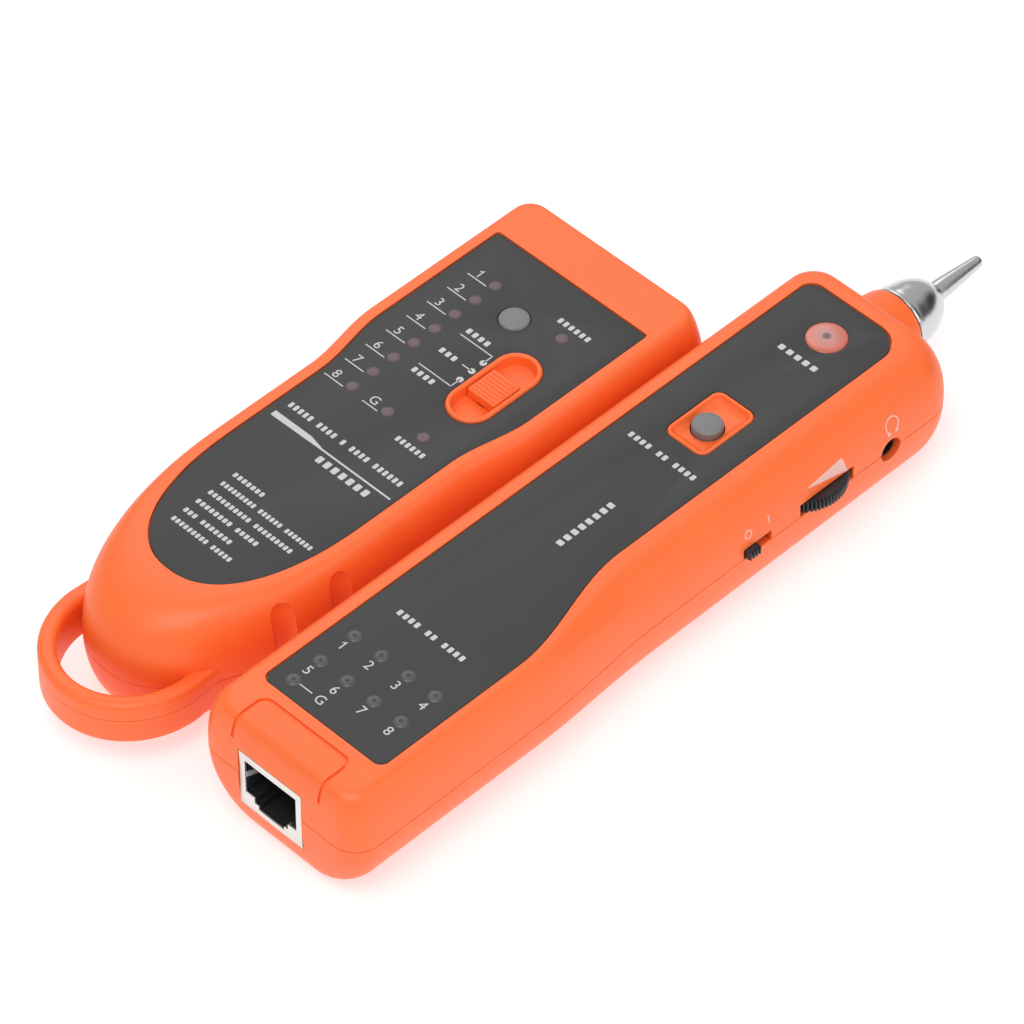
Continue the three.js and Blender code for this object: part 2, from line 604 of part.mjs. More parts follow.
// Half an egg in front of the widest station, then straight sides with a waist and a square end.
function txOutline({ reach, half, waist, end, radius }) {
  const eggSteps = 12;
  const side = Array.from({ length: eggSteps + 1 }, (_, i) => {
    const turn = (Math.PI / 2) * (1 - i / eggSteps);
    const forward = Math.sin(turn) ** (2 / TX.egg);
    const out = Math.cos(turn) ** (2 / TX.egg);
    return new THREE.Vector2(TX.noseCentre - reach * forward, -waist * out);
  });
  const swell = [0, 0.25, 0.5, 0.75, 1].map((t) => {
    const x = mix(TX.waistFrom, TX.waistTo, t);
    return new THREE.Vector2(x, -mix(waist, half, smooth(x, TX.waistFrom, TX.waistTo)));
  });
  const corner = arc(end - radius, -half + radius, radius, 270, 360, 5);
  const right = [...side, ...swell, ...corner];
  const left = right.slice(1).reverse().map((p) => new THREE.Vector2(p.x, -p.y));
  return [...right, ...left];
}

// Inset share of the emitter's sides and end: a slope that turns over a tight edge.
function crispShare(z) {
  if (z < TX.seam) return insetShare(z, TX.seam, HEIGHT);
  const t = (z - TX.seam) / (HEIGHT - TX.seam);
  return 0.5 * t ** 2 + 0.5 * (1 - (1 - t ** TX.crisp) ** (1 / TX.crisp));
}

function txOutlineAt(shrink) {
  return (z) => {
    const share = insetShare(z, TX.seam, HEIGHT);
    const tight = crispShare(z);
    const inset = z >= TX.seam ? TX.topInset : TX.bottomInset;
    return txOutline({
      reach: TX.noseReach - inset.nose * share - shrink,
      half: TX.half - inset.sides * tight - shrink,
      waist: TX.waistHalf - (inset.sides * (share + tight)) / 2 - shrink,
      end: TX.length - inset.end * tight - shrink,
      radius: mix(4.6, 3.6, share) - shrink * 0.6,
    });
  };
}

function txLabelOutline(grow) {
  return txOutline({
    reach: TX.labelReach + grow, half: TX.labelHalf + grow, waist: TX.labelWaist + grow,
    end: TX.labelTo + grow, radius: 0.8,
  });
}

// Outline of the hang loop: half an ellipse whose arms run back into the sides of the nose.
function loopOutline(reach, half, armEnd) {
  const steps = 16;
  const bow = Array.from({ length: steps + 1 }, (_, i) => {
    const a = Math.PI / 2 + (Math.PI * i) / steps;
    return new THREE.Vector2(LOOP.centre + reach * Math.cos(a), half * Math.sin(a));
  });
  return [...bow, new THREE.Vector2(armEnd, -half * 0.97), new THREE.Vector2(armEnd, half * 0.97)];
}

const TX_BOARD = { low: 5.4, high: 7 };
const TX_LED_FIRST = 120.6;
const TX_LED_PITCH = 5.36;
const TX_LED_Y = 9.8;
const TX_BUTTON = { x: 116.8, y: 1.0, radius: 3.05, top: HEIGHT + 0.6 };
const TX_SLOT = { x: 101.3, y: -9.15, length: 21.6, width: 9.9, depth: 2.2 };
const TX_KNOB = { length: 7.2, width: 7.0, top: HEIGHT + 0.2, travel: 3, skirt: 16 };
const TX_SCREWS = [[24.5, 0], [134.5, 0]];
const TX_DOOR_X = 30;
const TX_JACK_Y = { rj45: 11.5, rj11: -10.5 };

function txLedPlaces() {
  const row = Array.from({ length: 8 }, (_, i) => (
    [`tx_led_${i + 1}`, TX_LED_FIRST - TX_LED_PITCH * i, TX_LED_Y]
  ));
  return [...row, ['tx_led_g', 83.1, 0.4], ['tx_led_verify', 83.1, -9.0], ['tx_led_status', 119.5, -8.95]];
}

function stadium(x, y, length, width, steps = 8) {
  const r = width / 2;
  const reach = length / 2 - r;
  return [...arc(x + reach, y, r, -90, 90, steps), ...arc(x - reach, y, r, 90, 270, steps)];
}

// Finger grips: grooves down both sides of the nose, rounded off at the top.
const TX_GRIPS = [36.5, 49.5];
const GRIP = { radius: 3.1, depth: 1.25, heights: [9, 14, 18, 21.5, 22.7, 23.6, 24.2, 24.58] };

// Half width of the emitter's body at a station and a height.
function txHalfAt(x, z) {
  const outline = txOutlineAt(0)(z);
  const next = outline.findIndex((p) => p.x >= x);
  const [a, b] = [outline[next - 1], outline[next]];
  return -mix(a.y, b.y, (x - a.x) / (b.x - a.x));
}

// One groove; a grown one leaves room for the wall behind it.
function txGrip(x, side, grow) {
  const shoulder = GRIP.heights[3];
  const rings = GRIP.heights.map((z) => {
    const rise = Math.max(0, z - shoulder) / GRIP.radius;
    const full = Math.sqrt(1 - rise * rise);
    const radius = GRIP.radius * full + grow;
    const depth = GRIP.depth * full + grow;
    return arc(x, side * (txHalfAt(x, z) + radius - depth), radius, 0, 330, 11);
  });
  return loft(rings, GRIP.heights);
}

function txGrips(grow) {
  const grips = TX_GRIPS.flatMap((x) => [-1, 1].map((side) => txGrip(x, side, grow)));
  return grips.reduce((a, b) => a.add(b));
}

const txBody = hull(txOutlineAt(0), TX.seam, 0, HEIGHT);
const txLoopHole = loopOutline(LOOP.reach - LOOP.band, LOOP.half - LOOP.band, LOOP.armEnd + 1);
const txLoop = plate(loopOutline(LOOP.reach, LOOP.half, LOOP.armEnd), LOOP.from, LOOP.to)
  .subtract(plate(txLoopHole, LOOP.from - 1, LOOP.to + 1));
const txOuter = txBody.add(txLoop).subtract(txGrips(0));

function txShell() {
  const label = plate(txLabelOutline(0.2), HEIGHT - LABEL_DROP - LABEL_THICK - 0.2, HEIGHT + 1);
  const { x, y, length, width, depth } = TX_SLOT;
  const pan = plate(stadium(x, y, length + 2, width + 2), HEIGHT - 3.2, HEIGHT - 1.5);
  const rim = plate(stadium(x, y, length, width), HEIGHT - 3, HEIGHT + 0.3)
    .subtract(plate(stadium(x, y, length - 2.4, width - 2.4), HEIGHT - depth, 40));
  const cavity = hull(txOutlineAt(WALL), TX.seam, WALL, HEIGHT - WALL).subtract(txGrips(1.6));
  let shell = txOuter.subtract(cavity);
  for (const [sx, sy] of TX_SCREWS) {
    shell = shell.add(screwBoss(sx, sy, HEIGHT - 1)).add(screwPillar(sx, sy));
  }
  shell = shell.subtract(label).add(pan).add(rim)
    .subtract(plate(stadium(x, y, length - 2.4, width - 2.4), HEIGHT - depth, 40));
  const slotHalf = TX_KNOB.travel + 1.5 + GAP;
  const slotSide = 1.5 + GAP;
  shell = shell.subtract(box([x - slotHalf, y - slotSide, HEIGHT - 6], [x + slotHalf, y + slotSide, HEIGHT]));
  shell = shell.subtract(rod('z', [TX_BUTTON.x, TX_BUTTON.y, HEIGHT - 5], 9, TX_BUTTON.radius + GAP, 20));
  for (const [, lx, ly] of txLedPlaces()) {
    shell = shell.subtract(rod('z', [lx, ly, HEIGHT - 5], 6, LED.radius + GAP, 10));
  }
  for (const [sx, sy] of TX_SCREWS) {
    shell = shell.subtract(screwBore(sx, sy)).subtract(screwPocket(sx, sy));
  }
  for (const [name, size] of [['rj45', SOCKET], ['rj11', PHONE]]) {
    const half = size.width / 2 + GAP;
    const bottom = TX_BOARD.high + GAP;
    shell = shell.subtract(box([TX.length - 8, TX_JACK_Y[name] - half, bottom - GAP],
      [TX.length + 3, TX_JACK_Y[name] + half, bottom + size.height + GAP]));
  }
  return shell;
}

function txJack(size, y, mouthWidth, mouthHeight) {
  const half = size.width / 2;
  const bottom = TX_BOARD.high + GAP;
  const front = TX.length - 0.4;
  const body = box([front - size.depth, y - half, bottom], [front, y + half, bottom + size.height]);
  const mouth = jackMouth(0, 0, bottom + size.height - 1.4, mouthWidth, mouthHeight, 12.5);
  return body.subtract(mouth.rotate([0, 0, 180]).translate([front, y, 0]));
}

function txPieces() {
  const pieces = {};
  const shell = txShell();
  const seam = GAP / 2;
  const above = box([-20, -60, TX.seam + seam], [220, 60, 60]);
  const below = box([-20, -60, -10], [220, 60, TX.seam - seam]);
  const upper = withBossFeet(shell.intersect(above), TX_SCREWS, TX.seam);
  const lower = withBossRoom(shell.intersect(below).add(doorFrame(txBody, TX_DOOR_X)), TX_SCREWS);
  pieces.tx_upper_case = [upper, 'case'];
  pieces.tx_lower_case = [lower.subtract(doorCut(TX_DOOR_X)), 'case'];
  pieces.tx_battery_door = [batteryDoor(txBody, TX_DOOR_X), 'case'];
  pieces.tx_face_label = [txLabel(), 'label'];
  pieces.tx_mode_slider = [txSlider(), 'case'];
  const { x, y } = TX_SLOT;
  pieces.tx_mode_switch_body = [box([x - 8, y - 3.5, TX_BOARD.high + GAP], [x + 8, y + 3.5, 17.4])
    .subtract(box([x - 5, y - 1.5 - GAP, 14], [x + 5, y + 1.5 + GAP, 20])), 'steel'];
  pieces.tx_test_button = [pushButton(TX_BUTTON.x, TX_BUTTON.y, TX_BUTTON.radius, TX_BUTTON.top,
    HEIGHT - 0.2, 14.4), 'grey'];
  pieces.tx_tact_switch = [tactSwitch(TX_BUTTON.x, TX_BUTTON.y, TX_BOARD.high, 13.2), 'black'];
  for (const [name, lx, ly] of txLedPlaces()) {
    pieces[name] = [led(lx, ly, LED_TOP, TX_BOARD.high), 'led'];
  }
  pieces.tx_rj45_jack = [txJack(SOCKET, TX_JACK_Y.rj45, 12.6, 10.9), 'tinplate'];
  pieces.tx_rj11_jack = [txJack(PHONE, TX_JACK_Y.rj11, 9.8, 9), 'black'];
  pieces.tx_circuit_board = [box([81.6, -18.5, TX_BOARD.low], [138, 18.6, TX_BOARD.high])
    .subtract(rod('z', [134.5, 0, 0], 20, 3 + GAP, 12)), 'board'];
  pieces.tx_battery = [battery(TX_DOOR_X + 1.8), 'battery'];
  pieces.tx_battery_snap = [batterySnap(TX_DOOR_X + 1.8 - GAP - 3.6, 3.6), 'black'];
  TX_SCREWS.forEach(([sx, sy], i) => {
    pieces[`tx_screw_${i + 1}`] = [screw(sx, sy, SCREW_HEAD, SCREW_LENGTH), 'steel'];
  });
  return pieces;
}

function txLabel() {
  const top = HEIGHT - LABEL_DROP;
  const { x, y, length, width } = TX_SLOT;
  return plate(txLabelOutline(-0.1), top - LABEL_THICK, top)
    .subtract(plate(stadium(x, y, length + 2 * GAP, width + 2 * GAP), 20, 30))
    .subtract(rod('z', [TX_BUTTON.x, TX_BUTTON.y, 20], 10, TX_BUTTON.radius + GAP, 20));
}

// Ribbed knob of the three-position slider. Its tongue reaches the switch below, and a skirt under
// the dished floor keeps the slot covered.
function txSlider() {
  const { x, y } = TX_SLOT;
  const low = HEIGHT - TX_SLOT.depth + GAP;
  const half = TX_KNOB.length / 2;
  const side = TX_KNOB.width / 2;
  const skirt = TX_KNOB.skirt / 2;
  let knob = box([x - half, y - side, low], [x + half, y + side, TX_KNOB.top - 0.5])
    .add(box([x - 1.5, y - 1.5, 14.6], [x + 1.5, y + 1.5, low + 0.5]))
    .add(box([x - skirt, y - 2.6, HEIGHT - 4.3], [x + skirt, y + 2.6, HEIGHT - 3.5]));
  for (let i = 0; i < 5; i += 1) {
    const rx = x - half + 0.9 + i * 1.35;
    knob = knob.add(box([rx - 0.4, y - side, low], [rx + 0.4, y + side, TX_KNOB.top]));
  }
  return knob;
}

// ---- the kit ---------------------------------------------------------------------------------

function unit(pieces, place) {
  const group = new THREE.Group();
  for (const [name, [body, colour]] of Object.entries(pieces)) {
    const mesh = new THREE.Mesh(geometryOf(body), paint(colour));
    mesh.name = name;
    group.add(mesh);
  }
  group.position.set(place.x, place.y, 0);
  return group;
}

const group = new THREE.Group();
group.add(unit(rxPieces(), RX), unit(txPieces(), TX));

export default group;
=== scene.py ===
import json
import math

import bpy
from mathutils import Matrix, Vector


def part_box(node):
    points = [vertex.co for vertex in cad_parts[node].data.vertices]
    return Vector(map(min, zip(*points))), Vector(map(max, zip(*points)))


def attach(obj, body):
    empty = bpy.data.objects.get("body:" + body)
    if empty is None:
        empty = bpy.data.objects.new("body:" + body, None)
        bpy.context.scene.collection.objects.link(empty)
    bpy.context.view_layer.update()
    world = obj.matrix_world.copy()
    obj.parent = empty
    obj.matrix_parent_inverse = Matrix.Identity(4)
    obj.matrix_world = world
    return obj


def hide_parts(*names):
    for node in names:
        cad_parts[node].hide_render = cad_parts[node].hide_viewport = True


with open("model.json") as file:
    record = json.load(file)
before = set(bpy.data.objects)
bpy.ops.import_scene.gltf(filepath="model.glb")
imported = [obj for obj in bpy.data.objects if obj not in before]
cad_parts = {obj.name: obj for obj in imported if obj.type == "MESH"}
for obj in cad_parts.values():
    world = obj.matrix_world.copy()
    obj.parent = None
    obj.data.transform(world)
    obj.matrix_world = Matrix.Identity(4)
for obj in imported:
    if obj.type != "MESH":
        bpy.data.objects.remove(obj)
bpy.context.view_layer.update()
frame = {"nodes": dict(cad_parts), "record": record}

# ---- measures, in millimetres, in each unit's own frame ----

MM = 0.001
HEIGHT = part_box("rx_upper_case")[1].z / MM
SHOULDER = 2.5  # how tightly the sides turn over into the top
CRISP = 6  # the same for the emitter's sides and end
WALL = 2.2  # shell thickness
GAP = 0.3  # room round a battery door
HALF_SEAM = 0.05  # half the gap between two shells
EDGE = 0.14  # rounding of the shells' sharp edges
LABEL_TOP = HEIGHT - 0.2
LABEL_THICK = 0.5
INK = 0.03  # how far print stands up

RX_LENGTH = 160.8
RX_SEAM = 15.0
RX_HALF = 20.6
RX_WAIST_HALF = 18.5
RX_WAIST = (46.0, 78.0)  # where the right-hand side narrows, from and to
RX_WAIST_LAG = 8.0  # how much further back it does so at the underside
RX_AXIS = (3.5, 15.6)  # y and z of the probe
RX_SOCKET = (1.4, 7.1)  # y of the network socket's middle and z of its underside
RX_EAR = (141.0, 15.0)  # x and z of the earphone hole
RX_SWITCH_SLOT = (101.2, 108.6, 2.4)  # from x, to x, height above the seam
RX_WHEEL_SLOT = (7.2, 3.1)  # half length, height above the seam
RX_WHEEL_R = 9.2
RX_WHEEL_TEETH = 72
RX_SCREWS = ((39.7, 0.0), (101.5, 3.0))
RX_DOOR_X = 43.0
RX_DISH = (106.2, -2.8, 121.2, 7.4)  # the button's dish: x, y, to x, y
LENS_R = 4.1

TX_LENGTH = 144.3
TX_SEAM = 12.2
TX_HALF = 25.0
TX_WAIST_HALF = 22.5
TX_WAIST = (82.0, 100.0)  # where the sides widen, from and to
TX_NOSE = (59.9, 48.9, 2.3)  # the nose curve's middle, its reach and its power
TX_SCREWS = ((24.5, 0.0), (134.5, 0.0))
TX_DOOR_X = 30.0
TX_SLOT = (101.3, -9.15, 21.6, 9.9)  # the mode slide's pan: middle x, y, length, width
TX_JACK_LOW = 7.3
TX_JACKS_Y = (11.5, -10.5)

BUTTON_R = 3.05
DOOR_LENGTH = 50.4
DOOR_WIDTH = 29.0
DOOR_TOP = 2.0
DOOR_TRAVEL = 4.0
TONGUES_Y = (-8, 8)
BATTERY_WIDTH = 26.5
LOOP_CENTRE = 17.9
LOOP_LEVELS = (6.0, 16.0)  # underside and top
NETWORK_SIZE = (15.9, 13.8, 18)  # width, height, depth of a modular jack
PHONE_SIZE = (13.2, 11.6, 16)
NETWORK_MOUTH = (12.6, 10.5, 1.9, 8)  # width, height, distance below the top, contacts
PHONE_MOUTH = (9.8, 8.8, 1.5, 4)
GRIPS_AT = (36.5, 49.5)
GRIP_R = 3.1
GRIP_DEPTH = 1.25
GRIP_SHOULDER = 21.5  # above this height a grip rounds off
GRIP_HEIGHTS = (
    *(9, 10.5, 12, 13.5, 15, 16.5, 18, 19, 20, 20.8, GRIP_SHOULDER),
    *(22.1, 22.7, 23.2, 23.6, 23.9, 24.2, 24.4, 24.55),
)
RX_LEDS = [*range(1, 9), "g"]
TX_LEDS = [*RX_LEDS, "verify", "status"]


def unit_origin(battery, battery_x):
    """A unit's own origin, found from where its battery lies."""
    low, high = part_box(battery)
    return Vector((low.x - battery_x * MM, (low.y + high.y) / 2, 0))


RX_AT = unit_origin("rx_battery", RX_DOOR_X + 1.8)
TX_AT = unit_origin("tx_battery", TX_DOOR_X + 1.8)
ORIGINS = {"rx": RX_AT, "tx": TX_AT}  # by the letters that a name begins with


def node_spot(node):
    """Middle of a CAD node, in its unit's own millimetres."""
    low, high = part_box(node)
    return (low + high) / 2 / MM - ORIGINS[node[:2]] / MM


# ---- outlines ----


def lerp(a, b, t):
    return a + (b - a) * t


def ease(x, low, high):
    t = min(1, max(0, (x - low) / (high - low)))
    return t * t * (3 - 2 * t)


def arc(cx, cy, r, start, end, steps):
    turns = [math.radians(lerp(start, end, i / steps)) for i in range(steps + 1)]
    return [(cx + r * math.cos(a), cy + r * math.sin(a)) for a in turns]


def circle(cx, cy, r, steps=40):
    return arc(cx, cy, r, 0, 360 * (steps - 1) / steps, steps - 1)


def round_rect(x0, y0, x1, y1, r, steps=8):
    return [
        *arc(x1 - r, y0 + r, r, -90, 0, steps),
        *arc(x1 - r, y1 - r, r, 0, 90, steps),
        *arc(x0 + r, y1 - r, r, 90, 180, steps),
        *arc(x0 + r, y0 + r, r, 180, 270, steps),
    ]


def stadium(cx, cy, length, width, steps=24):
    r = width / 2
    reach = length / 2 - r
    right = arc(cx + reach, cy, r, -90, 90, steps)
    return right + arc(cx - reach, cy, r, 90, 270, steps)


def rx_outline(x0, x1, left, wide, narrow, radii, lag=0.0):
    """The receiver from above: straight on the left, and narrower behind a waist on the right."""
    r_socket, r_tip, r_tip_left = radii
    start, end = RX_WAIST[0] + lag, RX_WAIST[1] + lag
    waist = [lerp(start, end, i / 20) for i in range(21)]
    return [
        *arc(x0 + r_socket, -wide + r_socket, r_socket, 180, 270, 14),
        *[(x, -lerp(wide, narrow, ease(x, start, end))) for x in waist],
        *arc(x1 - r_tip, -narrow + r_tip, r_tip, 270, 360, 18),
        *arc(x1 - r_tip_left, left - r_tip_left, r_tip_left, 0, 90, 14),
        *arc(x0 + r_socket, left - r_socket, r_socket, 90, 180, 14),
    ]


def tx_outline(reach, half, waist, end, radius):
    """The emitter from above: an egg-shaped nose, a waist and a square end, the same both sides."""
    centre, power = TX_NOSE[0], TX_NOSE[2]
    right = []
    steps = 30
    for i in range(steps + 1):
        turn = math.pi / 2 * (1 - i / steps)
        forward = math.sin(turn) ** (2 / power)
        out = max(0, math.cos(turn)) ** (2 / power)
        right.append((centre - reach * forward, -waist * out))
    for i in range(17):
        x = lerp(*TX_WAIST, i / 16)
        right.append((x, -lerp(waist, half, ease(x, *TX_WAIST))))
    right += arc(end - radius, -half + radius, radius, 270, 360, 12)
    return right + [(x, -y) for x, y in reversed(right[1:])]


def edge_share(z, seam):
    """How much of the edge inset is used at a height: all on the flat faces, none at the seam."""
    if z >= seam:
        return 1 - (1 - ((z - seam) / (HEIGHT - seam)) ** SHOULDER) ** (1 / SHOULDER)
    return 1 - math.sqrt(max(0, 1 - ((seam - z) / seam) ** 2))


def crisp_share(z):
    """The same for the emitter's sides and end: a slope that turns over a tight edge."""
    if z < TX_SEAM:
        return edge_share(z, TX_SEAM)
    t = (z - TX_SEAM) / (HEIGHT - TX_SEAM)
    return 0.5 * t**2 + 0.5 * (1 - (1 - t**CRISP) ** (1 / CRISP))


def rx_ring(z, shrink=0.0):
    """The receiver's outline at a height, drawn in by shrink."""
    share = edge_share(z, RX_SEAM)
    upper = z >= RX_SEAM
    sides, waist, socket_end, tip_end = (4.3, 8.4, 3.2, 4.4) if upper else (11.8, 9.0, 3.3, 4.7)
    radii = [lerp(a, b, share) - shrink * 0.6 for a, b in ((5.5, 5), (8.5, 6.5), (6, 5))]
    half = RX_HALF - sides * share - shrink
    flat = rx_outline(
        socket_end * share + shrink,
        RX_LENGTH - tip_end * share - shrink,
        half,
        half,
        RX_WAIST_HALF - waist * share - shrink,
        radii,
        0 if upper else RX_WAIST_LAG * share,
    )
    return [(x, y, z) for x, y in flat]


def tx_ring(z, shrink=0.0):
    share, tight = edge_share(z, TX_SEAM), crisp_share(z)
    sides, nose, end = (4.4, 15.3, 3.0) if z >= TX_SEAM else (6.5, 5.5, 5.0)
    flat = tx_outline(
        TX_NOSE[1] - nose * share - shrink,
        TX_HALF - sides * tight - shrink,
        TX_WAIST_HALF - sides * (share + tight) / 2 - shrink,
        TX_LENGTH - end * tight - shrink,
        lerp(4.6, 3.6, share) - shrink * 0.6,
    )
    return [(x, y, z) for x, y in flat]


def rx_label_outline(grow):
    return rx_outline(11.6 - grow, 154.4 + grow, 15.0 + grow, 15.3 + grow, 8.7 + grow, (2, 6, 3))


def tx_label_outline(grow):
    return tx_outline(32.6 + grow, 19.7 + grow, 17.1 + grow, 131.2 + grow, 0.8)


# ---- meshes ----


def linked(name, data):
    """A new object in the scene."""
    obj = bpy.data.objects.new(name, data)
    bpy.context.scene.collection.objects.link(obj)
    return obj


def make(verts, faces, name="body"):
    mesh = bpy.data.meshes.new(name)
    mesh.from_pydata(verts, [], faces)
    mesh.update()
    return linked(name, mesh)


def loft(rings):
    """Closed body through rings of equal count, each anticlockwise from above, lowest first."""
    n = len(rings[0])
    faces = []
    for k in range(len(rings) - 1):
        for i in range(n):
            j = (i + 1) % n
            faces.append((k * n + i, k * n + j, (k + 1) * n + j, (k + 1) * n + i))
    last = (len(rings) - 1) * n
    faces.append(tuple(reversed(range(n))))
    faces.append(tuple(range(last, last + n)))
    return make([p for ring in rings for p in ring], faces)


def prism(outline, low, high):
    return loft([[(x, y, z) for x, y in outline] for z in (low, high)])


def soft_prism(outline_at, low, high, r, steps=4):
    """A plate with its top edge rounded; outline_at(inset) gives the outline."""
    rings = [[(x, y, low) for x, y in outline_at(0)]]
    for i in range(steps + 1):
        a = math.pi / 2 * i / steps
        inset, z = r * (1 - math.cos(a)), high - r + r * math.sin(a)
        rings.append([(x, y, z) for x, y in outline_at(inset)])
    return loft(rings)


def lathe(profile, at=(0, 0, 0), axis="z", steps=48):
    """Body turned about an axis from (radius, height) pairs that start and end on the axis."""
    rings = profile[1:-1]
    verts = [(0, 0, profile[0][1]), (0, 0, profile[-1][1])]
    for r, h in rings:
        for i in range(steps):
            a = 2 * math.pi * i / steps
            verts.append((r * math.cos(a), r * math.sin(a), h))
    faces = []
    for i in range(steps):
        j = (i + 1) % steps
        faces.append((0, 2 + j, 2 + i))
        for k in range(len(rings) - 1):
            a, b = 2 + k * steps, 2 + (k + 1) * steps
            faces.append((a + i, a + j, b + j, b + i))
        last = 2 + (len(rings) - 1) * steps
        faces.append((1, last + i, last + j))
    obj = make(verts, faces)
    if axis == "x":
        obj.data.transform(Matrix.Rotation(math.pi / 2, 4, "Y"))
    if axis == "-y":
        obj.data.transform(Matrix.Rotation(math.pi / 2, 4, "X"))
    obj.data.transform(Matrix.Translation(at))
    return obj


def cylinder(at, r, length, axis="z", steps=40):
    return lathe([(0, 0), (r, 0), (r, length), (0, length)], at, axis, steps)


def block(low, high):
    outline = [(low[0], low[1]), (high[0], low[1]), (high[0], high[1]), (low[0], high[1])]
    return prism(outline, low[2], high[2])


def rounded_block(low, high, r):
    """A block with rounded upright edges and a rounded top."""
    (x0, y0, z0), (x1, y1, z1) = low, high

    def outline(inset):
        return round_rect(x0 + inset, y0 + inset, x1 - inset, y1 - inset, max(r - inset, 0.02), 5)

    return soft_prism(outline, z0, z1, r * 0.9)


def between(a, b, c, d, t):
    """A value on the smooth curve from b to c, whose neighbours are a and d."""
    bend = (2 * a - 5 * b + 4 * c - d) * t**2 + (3 * b - a - 3 * c + d) * t**3
    return 0.5 * (2 * b + (c - a) * t + bend)


def smooth_curve(points, steps=6):
    """Points on a smooth curve through the given ones."""
    out = []
    padded = [points[0], *points, points[-1]]
    for four in zip(padded, padded[1:], padded[2:], padded[3:]):
        for i in range(steps):
            out.append(tuple(between(*values, i / steps) for values in zip(*four)))
    out.append(points[-1])
    return out


def baked(obj):
    """Gives the object the mesh that its modifiers make, and drops them."""
    bpy.context.view_layer.update()
    shown = obj.evaluated_get(bpy.context.evaluated_depsgraph_get())
    mesh = bpy.data.meshes.new_from_object(shown)
    obj.modifiers.clear()
    old, obj.data = obj.data, mesh
    bpy.data.meshes.remove(old)
    return obj


def boolean(obj, other, operation):
    """Combines the first body with the second, which is used up."""
    modifier = obj.modifiers.new("cut", "BOOLEAN")
    modifier.operation = operation
    modifier.solver = "MANIFOLD"
    modifier.object = other
    baked(obj)
    drop(other)
    return obj


def drop(obj):
    mesh = obj.data
    bpy.data.objects.remove(obj)
    bpy.data.meshes.remove(mesh)


def cut(obj, *others):
    for other in others:
        boolean(obj, other, "DIFFERENCE")
    return obj


def add(obj, *others):
    for other in others:
        boolean(obj, other, "UNION")
    return obj


def common(obj, other):
    return boolean(obj, other, "INTERSECT")


def joined(objs):
    """One mesh out of several, side by side."""
    verts, faces = [], []
    for obj in objs:
        base = len(verts)
        verts += [tuple(v.co) for v in obj.data.vertices]
        faces += [tuple(base + i for i in p.vertices) for p in obj.data.polygons]
    for obj in objs:
        drop(obj)
    return make(verts, faces)


def soften(obj, width=EDGE, angle=40):
    """Rounds the sharp edges a little."""
    modifier = obj.modifiers.new("edge", "BEVEL")
    modifier.width = width
    modifier.segments = 2
    modifier.limit_method = "ANGLE"
    modifier.angle_limit = math.radians(angle)
    modifier.use_clamp_overlap = True
    return baked(obj)


def place(obj, name, body, slot, replaces=(), finish=None):
    """Turns a body in a unit's own millimetres into a finished piece of the model."""
    obj.name = name
    obj.data.name = name
    obj.data.transform(Matrix.Translation(ORIGINS[name[:2]]) @ Matrix.Scale(MM, 4))
    obj.data.materials.clear()
    obj.data.materials.append(finish or SLOT_FINISH[slot])
    obj.data.shade_smooth()
    obj.data.set_sharp_from_angle(angle=math.radians(35))
    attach(obj, body)
    if replaces:
        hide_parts(*replaces)


# ---- materials ----


def linear(r, g, b):
    def one(c):
        c /= 255
        return c / 12.92 if c <= 0.04045 else ((c + 0.055) / 1.055) ** 2.4

    return (one(r), one(g), one(b), 1)


def preset(node, values):
    """Sets inputs of a shader node."""
    for key, value in values.items():
        node.inputs[key].default_value = value
    return node


def material(name, colour, roughness, metallic=0.0, grain=0.0, grain_size=0.4, shift=0.06, coat=0.0):
    """A surface whose colour drifts a little, with a fine grain pressed into it."""
    mat = bpy.data.materials.new(name)
    mat.use_nodes = True
    nodes, links = mat.node_tree.nodes, mat.node_tree.links
    shader = nodes["Principled BSDF"]
    preset(shader, {"Metallic": metallic, "Coat Weight": coat, "Coat Roughness": 0.15})
    where = nodes.new("ShaderNodeTexCoord").outputs["Object"]
    drift = preset(nodes.new("ShaderNodeTexNoise"), {"Scale": 60, "Detail": 3})
    links.new(where, drift.inputs["Vector"])
    ramp = nodes.new("ShaderNodeValToRGB")
    for end, position, gain in zip(ramp.color_ramp.elements, (0.3, 0.7), (1 - shift, 1 + shift)):
        end.position = position
        end.color = [min(1, c * gain) for c in colour[:3]] + [1]
    links.new(drift.outputs["Fac"], ramp.inputs["Fac"])
    links.new(ramp.outputs["Color"], shader.inputs["Base Color"])
    fine = preset(nodes.new("ShaderNodeTexNoise"), {"Scale": 1 / (grain_size * MM), "Detail": 2})
    links.new(where, fine.inputs["Vector"])
    limits = {"To Min": max(0, roughness - 0.06), "To Max": roughness + 0.06}
    spread = preset(nodes.new("ShaderNodeMapRange"), limits)
    links.new(fine.outputs["Fac"], spread.inputs["Value"])
    links.new(spread.outputs["Result"], shader.inputs["Roughness"])
    if grain:
        bump = preset(nodes.new("ShaderNodeBump"), {"Strength": grain, "Distance": 0.05 * MM})
        links.new(fine.outputs["Fac"], bump.inputs["Height"])
        links.new(bump.outputs["Normal"], shader.inputs["Normal"])
    return mat


